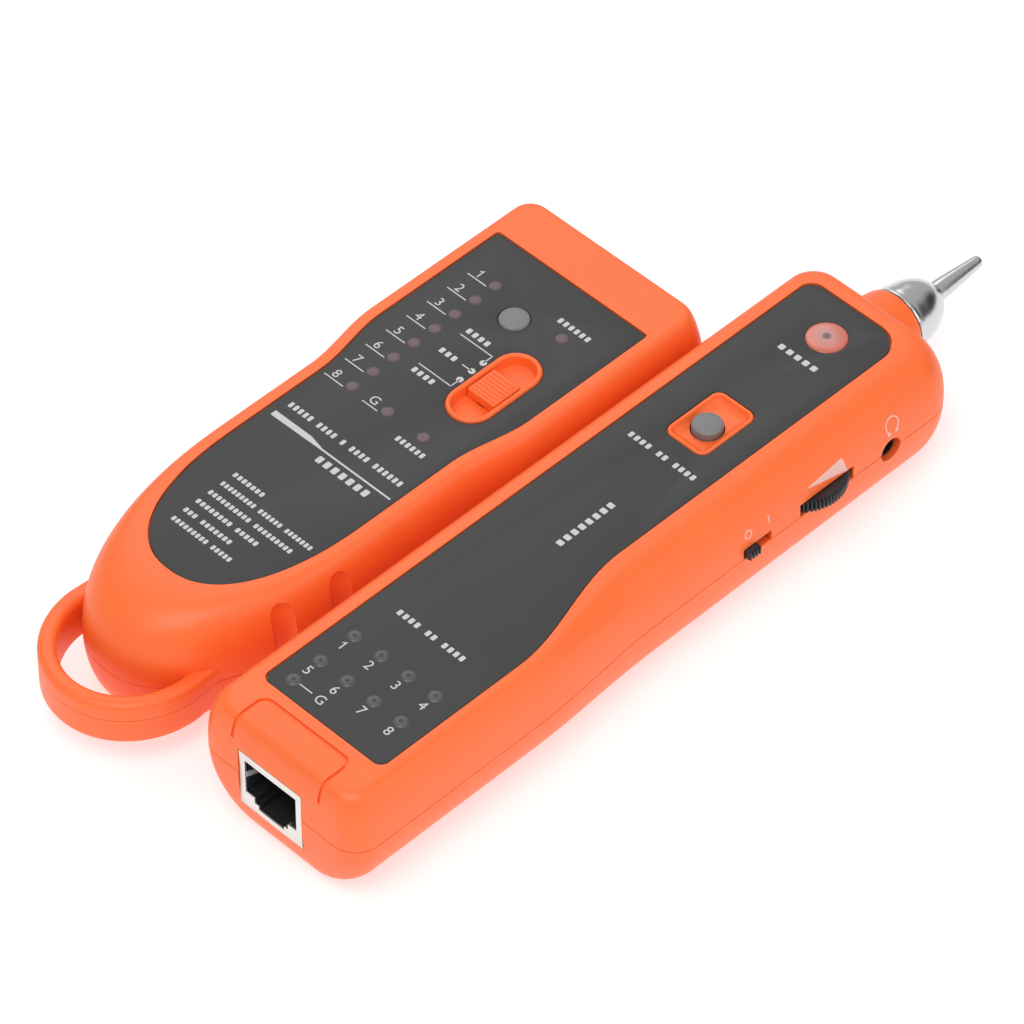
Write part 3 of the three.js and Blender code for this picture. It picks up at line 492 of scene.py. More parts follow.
ORANGE = material("orange_abs", linear(252, 110, 46), 0.42, grain=0.12, grain_size=0.5, shift=0.03)
LABEL = material("label_film", linear(55, 55, 55), 0.55, grain=0.25, grain_size=0.25, shift=0.05)
PRINT = material("white_print", linear(200, 200, 200), 0.6, shift=0.02)
WALL_PRINT = material("side_print", linear(236, 186, 176), 0.6, shift=0.02)
GREY = material("grey_button", linear(124, 124, 124), 0.5, grain=0.15, shift=0.03)
BLACK = material("black_plastic", linear(34, 34, 37), 0.42, grain=0.2, shift=0.1)
BOARD = material("board", linear(26, 92, 50), 0.4, shift=0.15)
BATTERY = material("battery_jacket", linear(38, 44, 66), 0.35, 0.4, shift=0.1)
TIN = material("tinplate", linear(226, 226, 222), 0.3, 0.85, grain=0.1, shift=0.04)
STEEL = material("zinc_steel", linear(178, 178, 180), 0.35, 1.0, grain=0.1)
GOLD = material("gold_contacts", linear(214, 168, 82), 0.25, 1.0)
METAL = material("probe_metal", linear(206, 206, 208), 0.22, 1.0, grain=0.35, grain_size=0.35, shift=0.03)
FLAT_LED = material("flat_window", linear(97, 74, 78), 0.45, shift=0.06, coat=0.2)
DOME_LED = material("dome_window", linear(82, 80, 81), 0.42, shift=0.12, coat=0.15)
# a darker disc on the top of each dome: a painted reflection
DOME_DARK_REFLECTION = material("dome_painted_reflection", linear(46, 44, 45), 0.45, shift=0.12, coat=0.15)
LED_RESIN = material("led_resin", linear(196, 150, 150), 0.15, shift=0.05, coat=0.5)

SLOT_FINISH = {
    "led_lens": LED_RESIN,
    "board": BOARD,
    "battery": BATTERY,
    "switch_can": STEEL,
    "screw_steel": STEEL,
    "black_plastic": BLACK,
    "jack_shield": TIN,
    "probe_metal": METAL,
    "case": ORANGE,
    "label": LABEL,
    "button": GREY,
    "power_lens": LED_RESIN,
}


def lens_material(centre, radius):
    """Pinkish resin with a dark spot in the middle, a paler cloud round it that is a painted highlight, and a
    little darker again at the rim.
    """
    mat = material("lens_resin_painted_highlight", linear(238, 128, 104), 0.22, coat=0.4)
    nodes, links = mat.node_tree.nodes, mat.node_tree.links
    along = nodes.new("ShaderNodeTexCoord").outputs["Object"]
    for operation, amount in (("SUBTRACT", centre), ("MULTIPLY", (1 / radius, 1 / radius, 0))):
        step = nodes.new("ShaderNodeVectorMath")
        step.operation = operation
        preset(step, {1: amount})
        links.new(along, step.inputs[0])
        along = step.outputs["Vector"]
    reach = nodes.new("ShaderNodeVectorMath")
    reach.operation = "LENGTH"
    links.new(along, reach.inputs[0])
    ramp = nodes.new("ShaderNodeValToRGB")
    bands = ramp.color_ramp.elements
    bands[0].position, bands[0].color = 0.0, linear(92, 58, 62)
    bands[1].position, bands[1].color = 1.0, linear(186, 92, 76)
    # the pale bands from 0.24 to 0.45 are a painted highlight on the lens, not its own colour
    for at, colour in (
        (0.16, (98, 60, 64)),
        (0.24, (180, 124, 122)),
        (0.45, (196, 122, 110)),
        (0.85, (212, 116, 96)),
    ):
        bands.new(at).color = linear(*colour)
    links.new(reach.outputs["Value"], ramp.inputs["Fac"])
    links.new(ramp.outputs["Color"], nodes["Principled BSDF"].inputs["Base Color"])
    return mat


# ---- shells ----


def levels(low, high, steps, power=0.8):
    """Heights from low to high that come closer together towards high."""
    return [low + (high - low) * math.sin(math.pi / 2 * i / steps) ** power for i in range(steps + 1)]


def upper_body(ring, seam, shrink=0.0, low=None):
    """The part above the seam. A cavity starts lower, so that it cuts right through the rim."""
    heights = levels(seam, HEIGHT - shrink, 30)[1:]
    start = seam + HALF_SEAM if low is None else low
    edge = 0.1 if low is None else 0.0
    rings = [[(x, y, start) for x, y, _ in ring(seam + 1e-6, shrink + edge)]]
    if low is None:
        rings.append([(x, y, start + 0.12) for x, y, _ in ring(seam + 1e-6, shrink)])
    rings += [ring(z, shrink) for z in heights if z > start + 0.3]
    return loft(rings)


def lower_body(ring, seam, shrink=0.0, high=None):
    """The part below the seam, with its edge there broken; a cavity goes on higher."""
    heights = [seam - (seam - shrink) * math.sin(math.pi / 2 * i / 16) for i in range(16, 0, -1)]
    top = seam - HALF_SEAM if high is None else high
    rings = [ring(z, shrink) for z in heights if z < top - 0.3]
    edge = 0.1 if high is None else 0.0
    if high is None:
        rings.append([(x, y, top - 0.12) for x, y, _ in ring(seam - 1e-6, shrink)])
    rings.append([(x, y, top) for x, y, _ in ring(seam - 1e-6, shrink + edge)])
    return loft(rings)


def tray(outline_at, rim_width, rim_top, floor, base, round_off, slope):
    """A pan with a raised rounded rim, as one closed body; outline_at(inset) gives its outline."""
    path = [(0, base), (0, rim_top - round_off)]
    for i in range(1, 9):
        a = math.pi * i / 8
        path.append((rim_width / 2 * (1 - math.cos(a)), rim_top - round_off * (1 - math.sin(a))))
    path.append((rim_width + slope * 0.6, lerp(rim_top - round_off, floor, 0.75)))
    path.append((rim_width + slope * 0.9 + 0.1, floor + 0.12))
    path.append((rim_width + slope + 0.3, floor))
    return loft([[(x, y, z) for x, y in outline_at(inset)] for inset, z in path])


def screw_hole(x, y):
    return [cylinder((x, y, -1), 2.8, 4.1), cylinder((x, y, 0), 1.7, 8)]


def screw_pillars(shell, places):
    for x, y in places:
        add(shell, cylinder((x, y, 0.2), 4.2, 4.5))
        cut(shell, *screw_hole(x, y))


def screw_bosses(shell, places):
    """Bosses that hang from the upper case, each with its bore."""
    for x, y in places:
        add(shell, cylinder((x, y, 5), 3, HEIGHT - 6.5))
        cut(shell, cylinder((x, y, 4), 1.6, 14))


def led_holes(shell, prefix, keys):
    for key in keys:
        spot = node_spot(f"{prefix}_led_{key}")
        cut(shell, cylinder((spot.x, spot.y, HEIGHT - 5), 1.8, 6, steps=24))


def windows(prefix, keys, profile, steps=28):
    """The same turned shape at each of a unit's lamps, standing on its label."""
    parts = []
    for key in keys:
        spot = node_spot(f"{prefix}_led_{key}")
        parts.append(lathe(profile, (spot.x, spot.y, LABEL_TOP), steps=steps))
    return joined(parts)


def door_recess(x):
    """The cuts for a battery door: its recess with room to slide, the opening and the tongue slots."""
    half = DOOR_WIDTH / 2 + GAP
    inner = BATTERY_WIDTH / 2 + 0.4
    end = x + DOOR_LENGTH + GAP + DOOR_TRAVEL
    cuts = [
        prism(round_rect(x - GAP, -half, end, half, 2), -1, DOOR_TOP + GAP),
        block((x + 1.5, -inner, 0), (x + DOOR_LENGTH - 0.2, inner, 6)),
    ]
    for y in TONGUES_Y:
        cuts.append(block((x - GAP, y - 3.3, 1), (x + 9, y + 3.3, 6)))
    return cuts


def door_frame(outer, x):
    """A thicker frame inside the lower case, round the battery door."""
    half = DOOR_WIDTH / 2 + 1.5
    frame_box = block((x - 0.5, -half, 1.5), (x + DOOR_LENGTH + DOOR_TRAVEL + 1.2, half, 3.7))
    return common(frame_box, outer)


def battery_door(outer, x):
    """The door follows the underside, with grip ridges near its far end and two tongues."""
    half = DOOR_WIDTH / 2
    door = common(outer, prism(round_rect(x, -half, x + DOOR_LENGTH, half, 2), -1, DOOR_TOP))
    door = common(door, block((-10, -60, 0.3), (200, 60, 10)))
    for i in range(7):
        at = x + DOOR_LENGTH - 12 + i * 1.5
        width = 9 - abs(i - 3) * 1.1
        cut(door, prism(stadium_across(at, width, 0.7), 0, 0.75))
    soften(door, 0.2, 50)
    parts = [door]
    for y in TONGUES_Y:
        parts.append(block((x - 2.6, y - 3, 2.5), (x + 4, y + 3, 3.6)))
        parts.append(block((x + 1, y - 3, 1.5), (x + 4, y + 3, 2.4999)))
    return joined(parts)


def stadium_across(x, length, width):
    """A stadium whose long side lies across the unit."""
    return [(x - b, a) for a, b in stadium(0, 0, length, width, 8)]


def screw(x, y, name, node, body):
    """A cross-head screw that comes up through the lower case."""
    profile = [(0, 0), (1.9, 0), (2.25, 0.12), (2.4, 0.4), (2.4, 1.6), (1.3, 1.6), (1.3, 13), (0, 14)]
    piece = lathe(profile, (x, y, 1.2), steps=40)
    for w, d in ((1.6, 0.35), (0.35, 1.6)):
        cut(piece, block((x - w, y - d, 0), (x + w, y + d, 2.0)))
    place(piece, name, body, "screw_steel", [node])


# ---- receiver ----


def rx_wall_y(x, z):
    """Where the right-hand wall is behind the waist, and round the corner at the tip."""
    share = edge_share(z, RX_SEAM)
    wall = RX_WAIST_HALF - 8.4 * share
    r = lerp(8.5, 6.5, share)
    into = max(0, x - (RX_LENGTH - 4.4 * share - r))
    return -(wall - r + math.sqrt(max(0, r * r - into * into)))


def rx_collar():
    """The neck that the probe's cone sits on."""
    y, z = RX_AXIS
    profile = [(0, -8), (8.4, -8), (8.3, -1), (8.0, 0.6), (7.75, 2.5), (7.5, 4.2), (7.3, 4.8), (6.95, 5.1)]
    return lathe([*profile, (0, 5.1)], (RX_LENGTH, y, z), "x", 64)


def rx_openings():
    """Cuts that cross both halves of the receiver's shell."""
    y, z = RX_AXIS
    middle, low = RX_SOCKET
    half, high = NETWORK_SIZE[0] / 2 + 0.15, low + NETWORK_SIZE[1] + 0.15
    return [
        block((-3, middle - half, low - 0.15), (8, middle + half, high)),
        cylinder((RX_EAR[0], -9, RX_EAR[1]), 2.6, 22, "-y"),
        cylinder((RX_LENGTH - 12, y, z), 3.8, 30, "x"),
    ]


def rx_upper():
    shell = upper_body(rx_ring, RX_SEAM)
    add(shell, common(rx_collar(), block((100, -60, RX_SEAM + HALF_SEAM), (200, 60, 60))))
    cut(shell, upper_body(rx_ring, RX_SEAM, WALL, RX_SEAM - 2))
    screw_bosses(shell, RX_SCREWS)
    cut(shell, prism(rx_label_outline(0.2), LABEL_TOP - LABEL_THICK - 0.2, HEIGHT + 1))
    led_holes(shell, "rx", RX_LEDS)

    def dish_outline(inset):
        x0, y0, x1, y1 = RX_DISH
        r = max(2.1 - inset, 0.5)
        return round_rect(x0 + inset, y0 + inset, x1 - inset, y1 - inset, r)

    cut(shell, prism(dish_outline(0.05), HEIGHT - 6, HEIGHT + 2))
    add(shell, tray(dish_outline, 0.9, HEIGHT, HEIGHT - 1.6, HEIGHT - 3.4, 0.45, 1.2))
    button, lens = node_spot("rx_test_button"), node_spot("rx_power_lens")
    cut(shell, cylinder((button.x, button.y, HEIGHT - 5), BUTTON_R + 0.25, 9))
    cut(shell, cylinder((lens.x, lens.y, HEIGHT - 5), LENS_R + 0.1, 9))
    groove = prism(round_rect(-3, -11.2, 9.1, 11.6, 2.4, 10), 22.6, 40)
    cut(groove, prism(round_rect(-4, -10.5, 8.4, 10.9, 1.7, 10), 20, 41))
    cut(shell, cut(groove, upper_body(rx_ring_sunk, RX_SEAM)))
    cut(shell, *rx_openings())
    start, end, high = RX_SWITCH_SLOT
    cut(shell, block((start, -30, RX_SEAM - 1), (end, -10, RX_SEAM + high)))
    wheel = node_spot("rx_volume_wheel")
    reach, high = RX_WHEEL_SLOT
    cut(shell, block((wheel.x - reach, -30, RX_SEAM - 1), (wheel.x + reach, wheel.y, RX_SEAM + high)))
    cut(shell, cylinder((wheel.x, wheel.y, RX_SEAM - 1), RX_WHEEL_R + 0.3, 1 + high, steps=72))
    soften(shell)
    place(shell, "rx_upper_shell", "receiver", "case", ["rx_upper_case"])


def rx_ring_sunk(z, shrink=0.0):
    """The receiver's surface, sunk by the depth of the pad's groove."""
    return [(x, y, min(h, HEIGHT - 0.45)) for x, y, h in rx_ring(z, shrink + 0.45)]


def rx_lower():
    shell = lower_body(rx_ring, RX_SEAM)
    add(shell, common(rx_collar(), block((100, -60, -5), (200, 60, RX_SEAM - HALF_SEAM))))
    cut(shell, lower_body(rx_ring, RX_SEAM, WALL, RX_SEAM + 2))
    add(shell, door_frame(lower_body(rx_ring, RX_SEAM), RX_DOOR_X))
    screw_pillars(shell, RX_SCREWS)
    cut(shell, *rx_openings(), *door_recess(RX_DOOR_X))
    speaker = node_spot("rx_speaker")
    cut(shell, cylinder((speaker.x, speaker.y, -1), 0.9, 6, steps=20))
    for i in range(6):
        a = math.pi / 3 * i
        at = (speaker.x + 4 * math.cos(a), speaker.y + 4 * math.sin(a), -1)
        cut(shell, cylinder(at, 0.9, 6, steps=20))
    soften(shell)
    place(shell, "rx_lower_shell", "receiver", "case", ["rx_lower_case"])


def rx_label():
    label = prism(rx_label_outline(-0.05), LABEL_TOP - LABEL_THICK, LABEL_TOP)
    x0, y0, x1, y1 = RX_DISH
    cut(label, prism(round_rect(x0 - 0.15, y0 - 0.15, x1 + 0.15, y1 + 0.15, 2.2), 20, 30))
    lens = node_spot("rx_power_lens")
    cut(label, cylinder((lens.x, lens.y, 20), LENS_R + 0.08, 10, steps=64))
    place(soften(label, 0.08), "rx_label", "receiver", "label", ["rx_face_label"])
    dome = [(0, -0.1), (1.5, -0.1), (1.5, 0), (1.35, 0.14), (1.0, 0.26), (0.5, 0.32), (0, 0.34)]
    rings = windows("rx", RX_LEDS, dome)
    place(rings, "rx_led_windows", "receiver", "label", finish=DOME_LED)
    # a darker disc on each dome's top, standing for a painted reflection
    reflection_profile = [(0, 0.2), (0.5, 0.2), (0.46, 0.35), (0.3, 0.37), (0, 0.38)]
    reflection_discs = windows("rx", RX_LEDS, reflection_profile, 20)
    place(reflection_discs, "rx_led_glints", "receiver", "label", finish=DOME_DARK_REFLECTION)


def rx_probe():
    y, z = RX_AXIS
    base = RX_LENGTH + 5.4
    outer = [(6.85, 0), (6.95, 0.35), (6.85, 0.8), (6.78, 1.6), (6.6, 2.8), (6.3, 4.6)]
    outer += [(5.75, 6.4), (4.9, 8.1), (3.8, 9.5), (2.75, 10.5)]
    cone = lathe([(0, 0), *smooth_curve(outer), (2.1, 10.5), (2.1, 4), (0, 4)], (base, y, z), "x", 72)
    stem = cylinder((RX_LENGTH - 10, y, z), 3.5, 15.3, "x")
    place(joined([cone, stem]), "rx_cone", "receiver", "probe_metal", ["rx_probe_cone"])
    shape = [(2.2, 10.7), (2.1, 13), (1.8, 17), (1.42, 21.2), (1.25, 22.9), (0.95, 23.5), (0.55, 23.8)]
    profile = [(0, 4.6), (1.8, 4.6), (1.8, 10.6), *smooth_curve(shape, 5), (0, 23.9)]
    needle = lathe(profile, (base, y, z), "x", 40)
    place(needle, "rx_needle", "receiver", "probe_metal", ["rx_probe_needle"])


def button_profile(top, ceiling, stem_end):
    """A push button: its stem, the flange under the shell, and a crowned cap with a round rim."""
    r, rim, crown = BUTTON_R, 0.55, 0.35
    side = [(r - rim + rim * math.cos(a), top - crown - rim + rim * math.sin(a)) for a in arc_turns(6)]
    cap = [(r * k, top - crown * (k * 1.18) ** 2) for k in (0.7, 0.5, 0.25)]
    return [
        (0, stem_end),
        (1.5, stem_end),
        (1.5, ceiling - 3.4),
        (r + 0.7, ceiling - 3.4),
        (r + 0.7, ceiling - 2.6),
        (r, ceiling - 2.6),
        *side,
        *cap,
        (0, top),
    ]


def arc_turns(steps):
    return [math.pi / 2 * i / steps for i in range(steps + 1)]


def rx_button_and_lens():
    button = node_spot("rx_test_button")
    profile = button_profile(HEIGHT + 0.4, HEIGHT - 1.2, 15.6)
    piece = lathe(profile, (button.x, button.y, 0), steps=64)
    place(piece, "rx_button", "rx_test_button_body", "button", ["rx_test_button"])

    lens = node_spot("rx_power_lens")
    top = HEIGHT + 0.3
    turns = reversed(arc_turns(12)[1:])
    dome = [(LENS_R * math.sin(a), top - 0.55 * (1 - math.cos(a))) for a in turns]
    profile = [(0, top - 2.6), (LENS_R, top - 2.6), *dome, (0, top)]
    piece = lathe(profile, (lens.x, lens.y, 0), steps=64)
    # the lens colour holds a painted highlight round its dark middle
    tint_and_highlight = lens_material(RX_AT + lens * MM, LENS_R * MM)
    place(piece, "rx_lens", "receiver", "power_lens", ["rx_power_lens"], tint_and_highlight)


def rx_wheel():
    """The thumbwheel: its teeth, its bevelled faces and the hub below."""
    spot = node_spot("rx_volume_wheel")
    count = RX_WHEEL_TEETH * 6
    rings = []
    for z, drop_in in ((15.2, 0.35), (15.45, 0.0), (17.55, 0.0), (17.8, 0.35)):
        ring = []
        for i in range(count):
            a = 2 * math.pi * i / count
            ridge = 0.5 + 0.5 * math.cos(a * RX_WHEEL_TEETH)
            r = RX_WHEEL_R - drop_in - 0.5 * ridge**2
            ring.append((spot.x + r * math.cos(a), spot.y + r * math.sin(a), z))
        rings.append(ring)
    wheel = joined([loft(rings), cylinder((spot.x, spot.y, 14.0), 2, 1.15)])
    place(wheel, "rx_wheel", "rx_volume_wheel_body", "black_plastic", ["rx_volume_wheel"])


def rx_slide():
    spot = node_spot("rx_power_slider")
    parts = [
        block((spot.x - 1.5, -19.45, 15.3), (spot.x + 1.5, -17, 17.2)),
        block((spot.x - 1, -16.999, 15.45), (spot.x + 1, -13.2, 17.05)),
    ]
    knob = [soften(joined(parts), 0.12)]
    for i in range(4):
        x = spot.x - 1.2 + i * 0.8
        knob.append(soften(block((x - 0.22, -19.9, 15.35), (x + 0.22, -19.2, 17.15)), 0.09))
    nodes = ["rx_power_slider"]
    place(joined(knob), "rx_slide_knob", "rx_power_slider_body", "black_plastic", nodes)


def rx_ear():
    """The earphone socket: a barrel that reaches the wall, in a square body."""
    x, z = RX_EAR
    barrel = [(0, 4.0), (2.35, 4.0), (2.35, 17.1), (2.15, 17.25), (0, 17.25)]
    socket = cut(lathe(barrel, (x, 0, z), "-y"), cylinder((x, -3.2, z), 1.8, 16, "-y"))
    body = block((x - 4, -14.3, 7.1), (x + 4, -3.5, 18.4))
    cut(body, cylinder((x, -3.4, z), 2.36, 16, "-y"))
    piece = joined([socket, soften(body, 0.3)])
    place(piece, "rx_ear_socket", "receiver", "black_plastic", ["rx_earphone_jack"])


def prism_x(outline, low, high):
    """A body whose outline lies in the y-z plane."""
    return loft([[(x, y, z) for y, z in outline] for x in (low, high)][::-1])


def mouth_outline(width, height, top):
    """The opening of a modular jack: full width for the plug, then two steps for its latch."""
    half = width / 2
    previous = half
    points = [(half, top)]
    for w, share in ((half, 0.78), (half * 0.66, 0.91), (half * 0.5, 1.0)):
        if w != previous:
            points.append((w, points[-1][1]))
        points.append((w, top - height * share))
        previous = w
    return points + [(-y, z) for y, z in reversed(points)]


def contact_wires(count, top):
    """The contacts, side by side, each sloping down from the mouth."""
    wires = []
    for i in range(count):
        y = (i - (count - 1) / 2) * 1.02
        wire = block((1.4, y - 0.18, top - 0.9), (10.5, y + 0.18, top - 0.55))
        for v in wire.data.vertices:
            v.co.z -= 0.28 * (v.co.x - 1.4)
        wires.append(wire)
    return joined(wires)


def side_springs(width, top):
    """Two tabs that lean in from the sides of the mouth."""
    springs = []
    for side in (-1, 1):
        y = side * (width / 2 + 0.15)
        corners = [(0.3, y), (4.5, y - side * 1.4), (4.5, y - side * 1.15), (0.3, y + side * 0.1)]
        springs.append(prism(corners[::-side], top - 4.4, top - 3.0))
    return joined(springs)


def network_socket(size, mouth, where, body, name, case, slot, case_nodes, insert_nodes=()):
    """A modular jack facing -x at the origin, then put in its place by the matrix."""
    width, height, depth = size
    half = width / 2
    mouth_width, mouth_height, sunk, count = mouth
    top = height - sunk
    shell = block((0, -half, 0), (depth, half, height))
    cut(shell, block((0.5, -half + 0.5, 0.5), (depth - 0.5, half - 0.5, height - 0.5)))
    cut(shell, prism_x(mouth_outline(mouth_width + 0.4, mouth_height + 0.3, top + 0.15), -1, 2))
    soften(shell, 0.1)
    insert = block((0.8, -half + 0.8, 0.8), (depth - 0.8, half - 0.8, height - 0.8))
    cut(insert, prism_x(mouth_outline(mouth_width, mouth_height, top), -1, 12.5))
    for obj, suffix, own_slot, nodes, finish in (
        (shell, case, slot, case_nodes, None),
        (insert, "insert", "black_plastic", insert_nodes, None),
        (contact_wires(count, top), "contacts", "jack_shield", (), GOLD),
        (side_springs(mouth_width, top), f"{case}_springs", slot, (), None),
    ):
        obj.data.transform(where)
        place(obj, f"{name}_{suffix}", body, own_slot, nodes, finish)


def rx_socket():
    where = Matrix.Translation((0.2, *RX_SOCKET))
    kind = ("rx_socket", "shield", "jack_shield", ["rx_rj45_shield"], ["rx_rj45_insert"])
    network_socket(NETWORK_SIZE, NETWORK_MOUTH, where, "receiver", *kind)


# ---- print ----


def ink(outline):
    return prism(outline, LABEL_TOP - 0.01, LABEL_TOP + INK)


FIGURE_ONE = (
    *((0.02, -0.5), (0.15, -0.5), (0.15, 0.5), (0.04, 0.5)),
    *((-0.02, 0.38), (-0.2, 0.27), (-0.2, 0.15), (0.02, 0.25)),
)


def glyph(text, x, y, height=2.1):
    """A figure with its middle at x, y and its top towards +x."""
    if text == "1":
        return ink([(x + py * height, y - px * height) for px, py in FIGURE_ONE])
    curve = bpy.data.curves.new("glyph", "FONT")
    curve.body = text
    curve.size = 10
    curve.extrude = 0.01
    obj = linked("glyph", curve)
    bpy.context.view_layer.update()
    mesh = bpy.data.meshes.new_from_object(obj.evaluated_get(bpy.context.evaluated_depsgraph_get()))
    bpy.data.objects.remove(obj)
    xs = [v.co.x for v in mesh.vertices]
    ys = [v.co.y for v in mesh.vertices]
    scale = height / (max(ys) - min(ys))
    mesh.transform(Matrix.Translation((-(max(xs) + min(xs)) / 2, -(max(ys) + min(ys)) / 2, 0)))
    mesh.transform(Matrix.Diagonal((scale, scale, 1, 1)))
    mesh.transform(Matrix.Rotation(-math.pi / 2, 4, "Z"))
    mesh.transform(Matrix.Translation((x, y, LABEL_TOP + 0.015)))
    return linked("glyph", mesh)


def patch(x0, y0, x1, y1):
    return ink([(x0, y0), (x1, y0), (x1, y1), (x0, y1)])


def bar(x, y_from, y_to, width=0.25):
    """A printed line across the unit."""
    return patch(x - width / 2, min(y_from, y_to), x + width / 2, max(y_from, y_to))


def word(x, y_from, y_to, lengths, height=1.35, gap=0.75):
    """Stands for a printed line: a row of small rounded dashes grouped like its words."""
    space = 0.9
    unit = abs(y_to - y_from) / (sum(lengths) + (len(lengths) - 1) * space)
    way = 1 if y_to > y_from else -1
    y = y_from
    marks = []
    for n in lengths:
        for _ in range(n):
            ends = sorted((y, y + way * unit * (1 - gap * 0.5)))
            r = min(0.22, (ends[1] - ends[0]) / 2.2)
            marks.append(ink(round_rect(x - height / 2, ends[0], x + height / 2, ends[1], r, 3)))
            y += way * unit
        y += way * unit * space
    return marks


def word_along(y, x_from, x_to, count, height=1.45):
    """The same, reading along +x."""
    marks = []
    unit = (x_to - x_from) / count
    for i in range(count):
        x = x_from + i * unit
        marks.append(ink(round_rect(x, y - height / 2, x + unit * 0.64, y + height / 2, 0.22, 3)))
    return marks


def rx_print():
    marks = []
    for i in range(1, 9):
        led = node_spot(f"rx_led_{i}")
        marks.append(glyph(str(i), led.x - 3.1, led.y))
    led = node_spot("rx_led_g")
    marks.append(bar(led.x, led.y - 1.6, led.y - 4.8))
    marks.append(glyph("G", led.x, led.y - 6.9))
    marks += word(39.9, 9.3, -8.0, (4, 2, 4))
    marks += word(101.3, 11.1, -6.1, (4, 2, 4))
    marks += word(137.5, 7.3, -2.9, (5,))
    marks += word_along(0.6, 71.9, 86.9, 8)
    place(joined(marks), "rx_label_print", "receiver", "label", finish=PRINT)


def wall_strip(lower, upper):
    """A printed strip on the receiver's right-hand wall between two rows of (x, z) points."""
    rows, width = 6, len(lower)
    grid = []
    for k in range(rows + 1):
        grid += [(lerp(a[0], b[0], k / rows), lerp(a[1], b[1], k / rows)) for a, b in zip(lower, upper)]
    verts, faces = [], []
    for lift in (INK, -0.06):
        verts += [(x, rx_wall_y(x, z) - lift, z) for x, z in grid]
    back = (rows + 1) * width
    for k in range(rows):
        for i in range(width - 1):
            a, b = k * width + i, (k + 1) * width + i
            faces.append((a, a + 1, b + 1, b))
            faces.append((back + a, back + b, back + b + 1, back + a + 1))
    rim = [*range(width), *[k * width + width - 1 for k in range(1, rows + 1)]]
    rim += [rows * width + i for i in range(width - 2, -1, -1)]
    rim += [k * width for k in range(rows - 1, 0, -1)]
    faces += [(back + a, back + b, b, a) for a, b in zip(rim, rim[1:] + rim[:1])]
    return make(verts, faces)


def wall_ring(x, z, r, width, start=0, end=360):
    return wall_strip(arc(x, z, r, start, end, 40), arc(x, z, r - width, start, end, 40))


def wall_box(x0, x1, z0, z1):
    return wall_strip([(x0, z0), (x1, z0)], [(x0, z1), (x1, z1)])


def rx_side_print():
    """The off and on marks, the volume wedge and the headphone sign."""
    z = 20.3
    marks = [wall_ring(102.7, z, 0.95, 0.24), wall_box(108.0, 108.3, z - 0.95, z + 0.95)]
    steps = 12
    lower = [(lerp(118.6, 129.1, i / steps), lerp(20.65, 18.25, i / steps)) for i in range(steps + 1)]
    upper = [(lerp(118.6, 128.0, i / steps), lerp(20.75, 21.7, i / steps)) for i in range(steps + 1)]
    marks.append(wall_strip(lower, upper))
    x, z = 141.6, 20.8
    marks.append(wall_ring(x, z, 1.8, 0.26, -66, 246))
    for side in (-1, 1):
        marks.append(wall_box(x + side * 1.0 - 0.36, x + side * 1.0 + 0.36, z - 2.1, z - 1.25))
    place(joined(marks), "rx_side_print", "receiver", "case", finish=WALL_PRINT)


# ---- emitter ----


def loop_part(low, high):
    """The hang loop between two heights: half an ellipse whose arms run back into the nose."""
    reach, half, band, r = 17.9, 16.9, 3.6, 1.3
    bottom, top = LOOP_LEVELS
    turns = [math.radians(a) for a in range(0, 91, 18)]
    corner = [(r - r * math.cos(a), bottom + r - r * math.sin(a)) for a in turns]
    profile = [
        *corner,
        *[(band - o, z) for o, z in reversed(corner)],
        *[(band - o, bottom + top - z) for o, z in corner],
        *[(o, bottom + top - z) for o, z in reversed(corner)],
    ]

    def arm(x, side):
        return [(x, side * (half * 0.985 - o), z) for o, z in profile]

    def bend(a):
        return [(LOOP_CENTRE + (reach - o) * math.cos(a), (half - o) * math.sin(a), z) for o, z in profile]

    steps = 48
    rows = [arm(27.0, 1), arm(LOOP_CENTRE + 4, 1)]
    rows += [bend(math.pi / 2 + math.pi * i / steps) for i in range(steps + 1)]
    rows += [arm(LOOP_CENTRE + 4, -1), arm(27.0, -1)]
    return common(loft(rows), block((-10, -60, low), (100, 60, high)))


def tx_half_at(x, z):
    """Half width of the emitter's body at a station and a height."""
    outline = tx_ring(z)
    for a, b in zip(outline, outline[1:]):
        if b[0] >= x:
            return -lerp(a[1], b[1], (x - a[0]) / (b[0] - a[0]))
    return 0


def grip(x, side, grow):
    """A groove down the side of the nose, rounded off at the top."""
    rings = []
    for z in GRIP_HEIGHTS:
        full = math.sqrt(1 - (max(0, z - GRIP_SHOULDER) / GRIP_R) ** 2)
        r, depth = GRIP_R * full + grow, GRIP_DEPTH * full + grow
        y = side * (tx_half_at(x, z) + r - depth)
        rings.append([(px, py, z) for px, py in circle(x, y, r, 40)])
    return loft(rings)


def tx_grips(grow=0.0):
    return [grip(x, side, grow) for x in GRIPS_AT for side in (-1, 1)]


def tx_sockets():
    """Cuts for the two jacks in the end, across both halves of the shell."""
    cuts = []
    for (width, height, _), y in zip((NETWORK_SIZE, PHONE_SIZE), TX_JACKS_Y):
        half = width / 2 + 0.2
        low, high = TX_JACK_LOW - 0.2, TX_JACK_LOW + height + 0.2
        cuts.append(block((TX_LENGTH - 8, y - half, low), (TX_LENGTH + 3, y + half, high)))
    return cuts


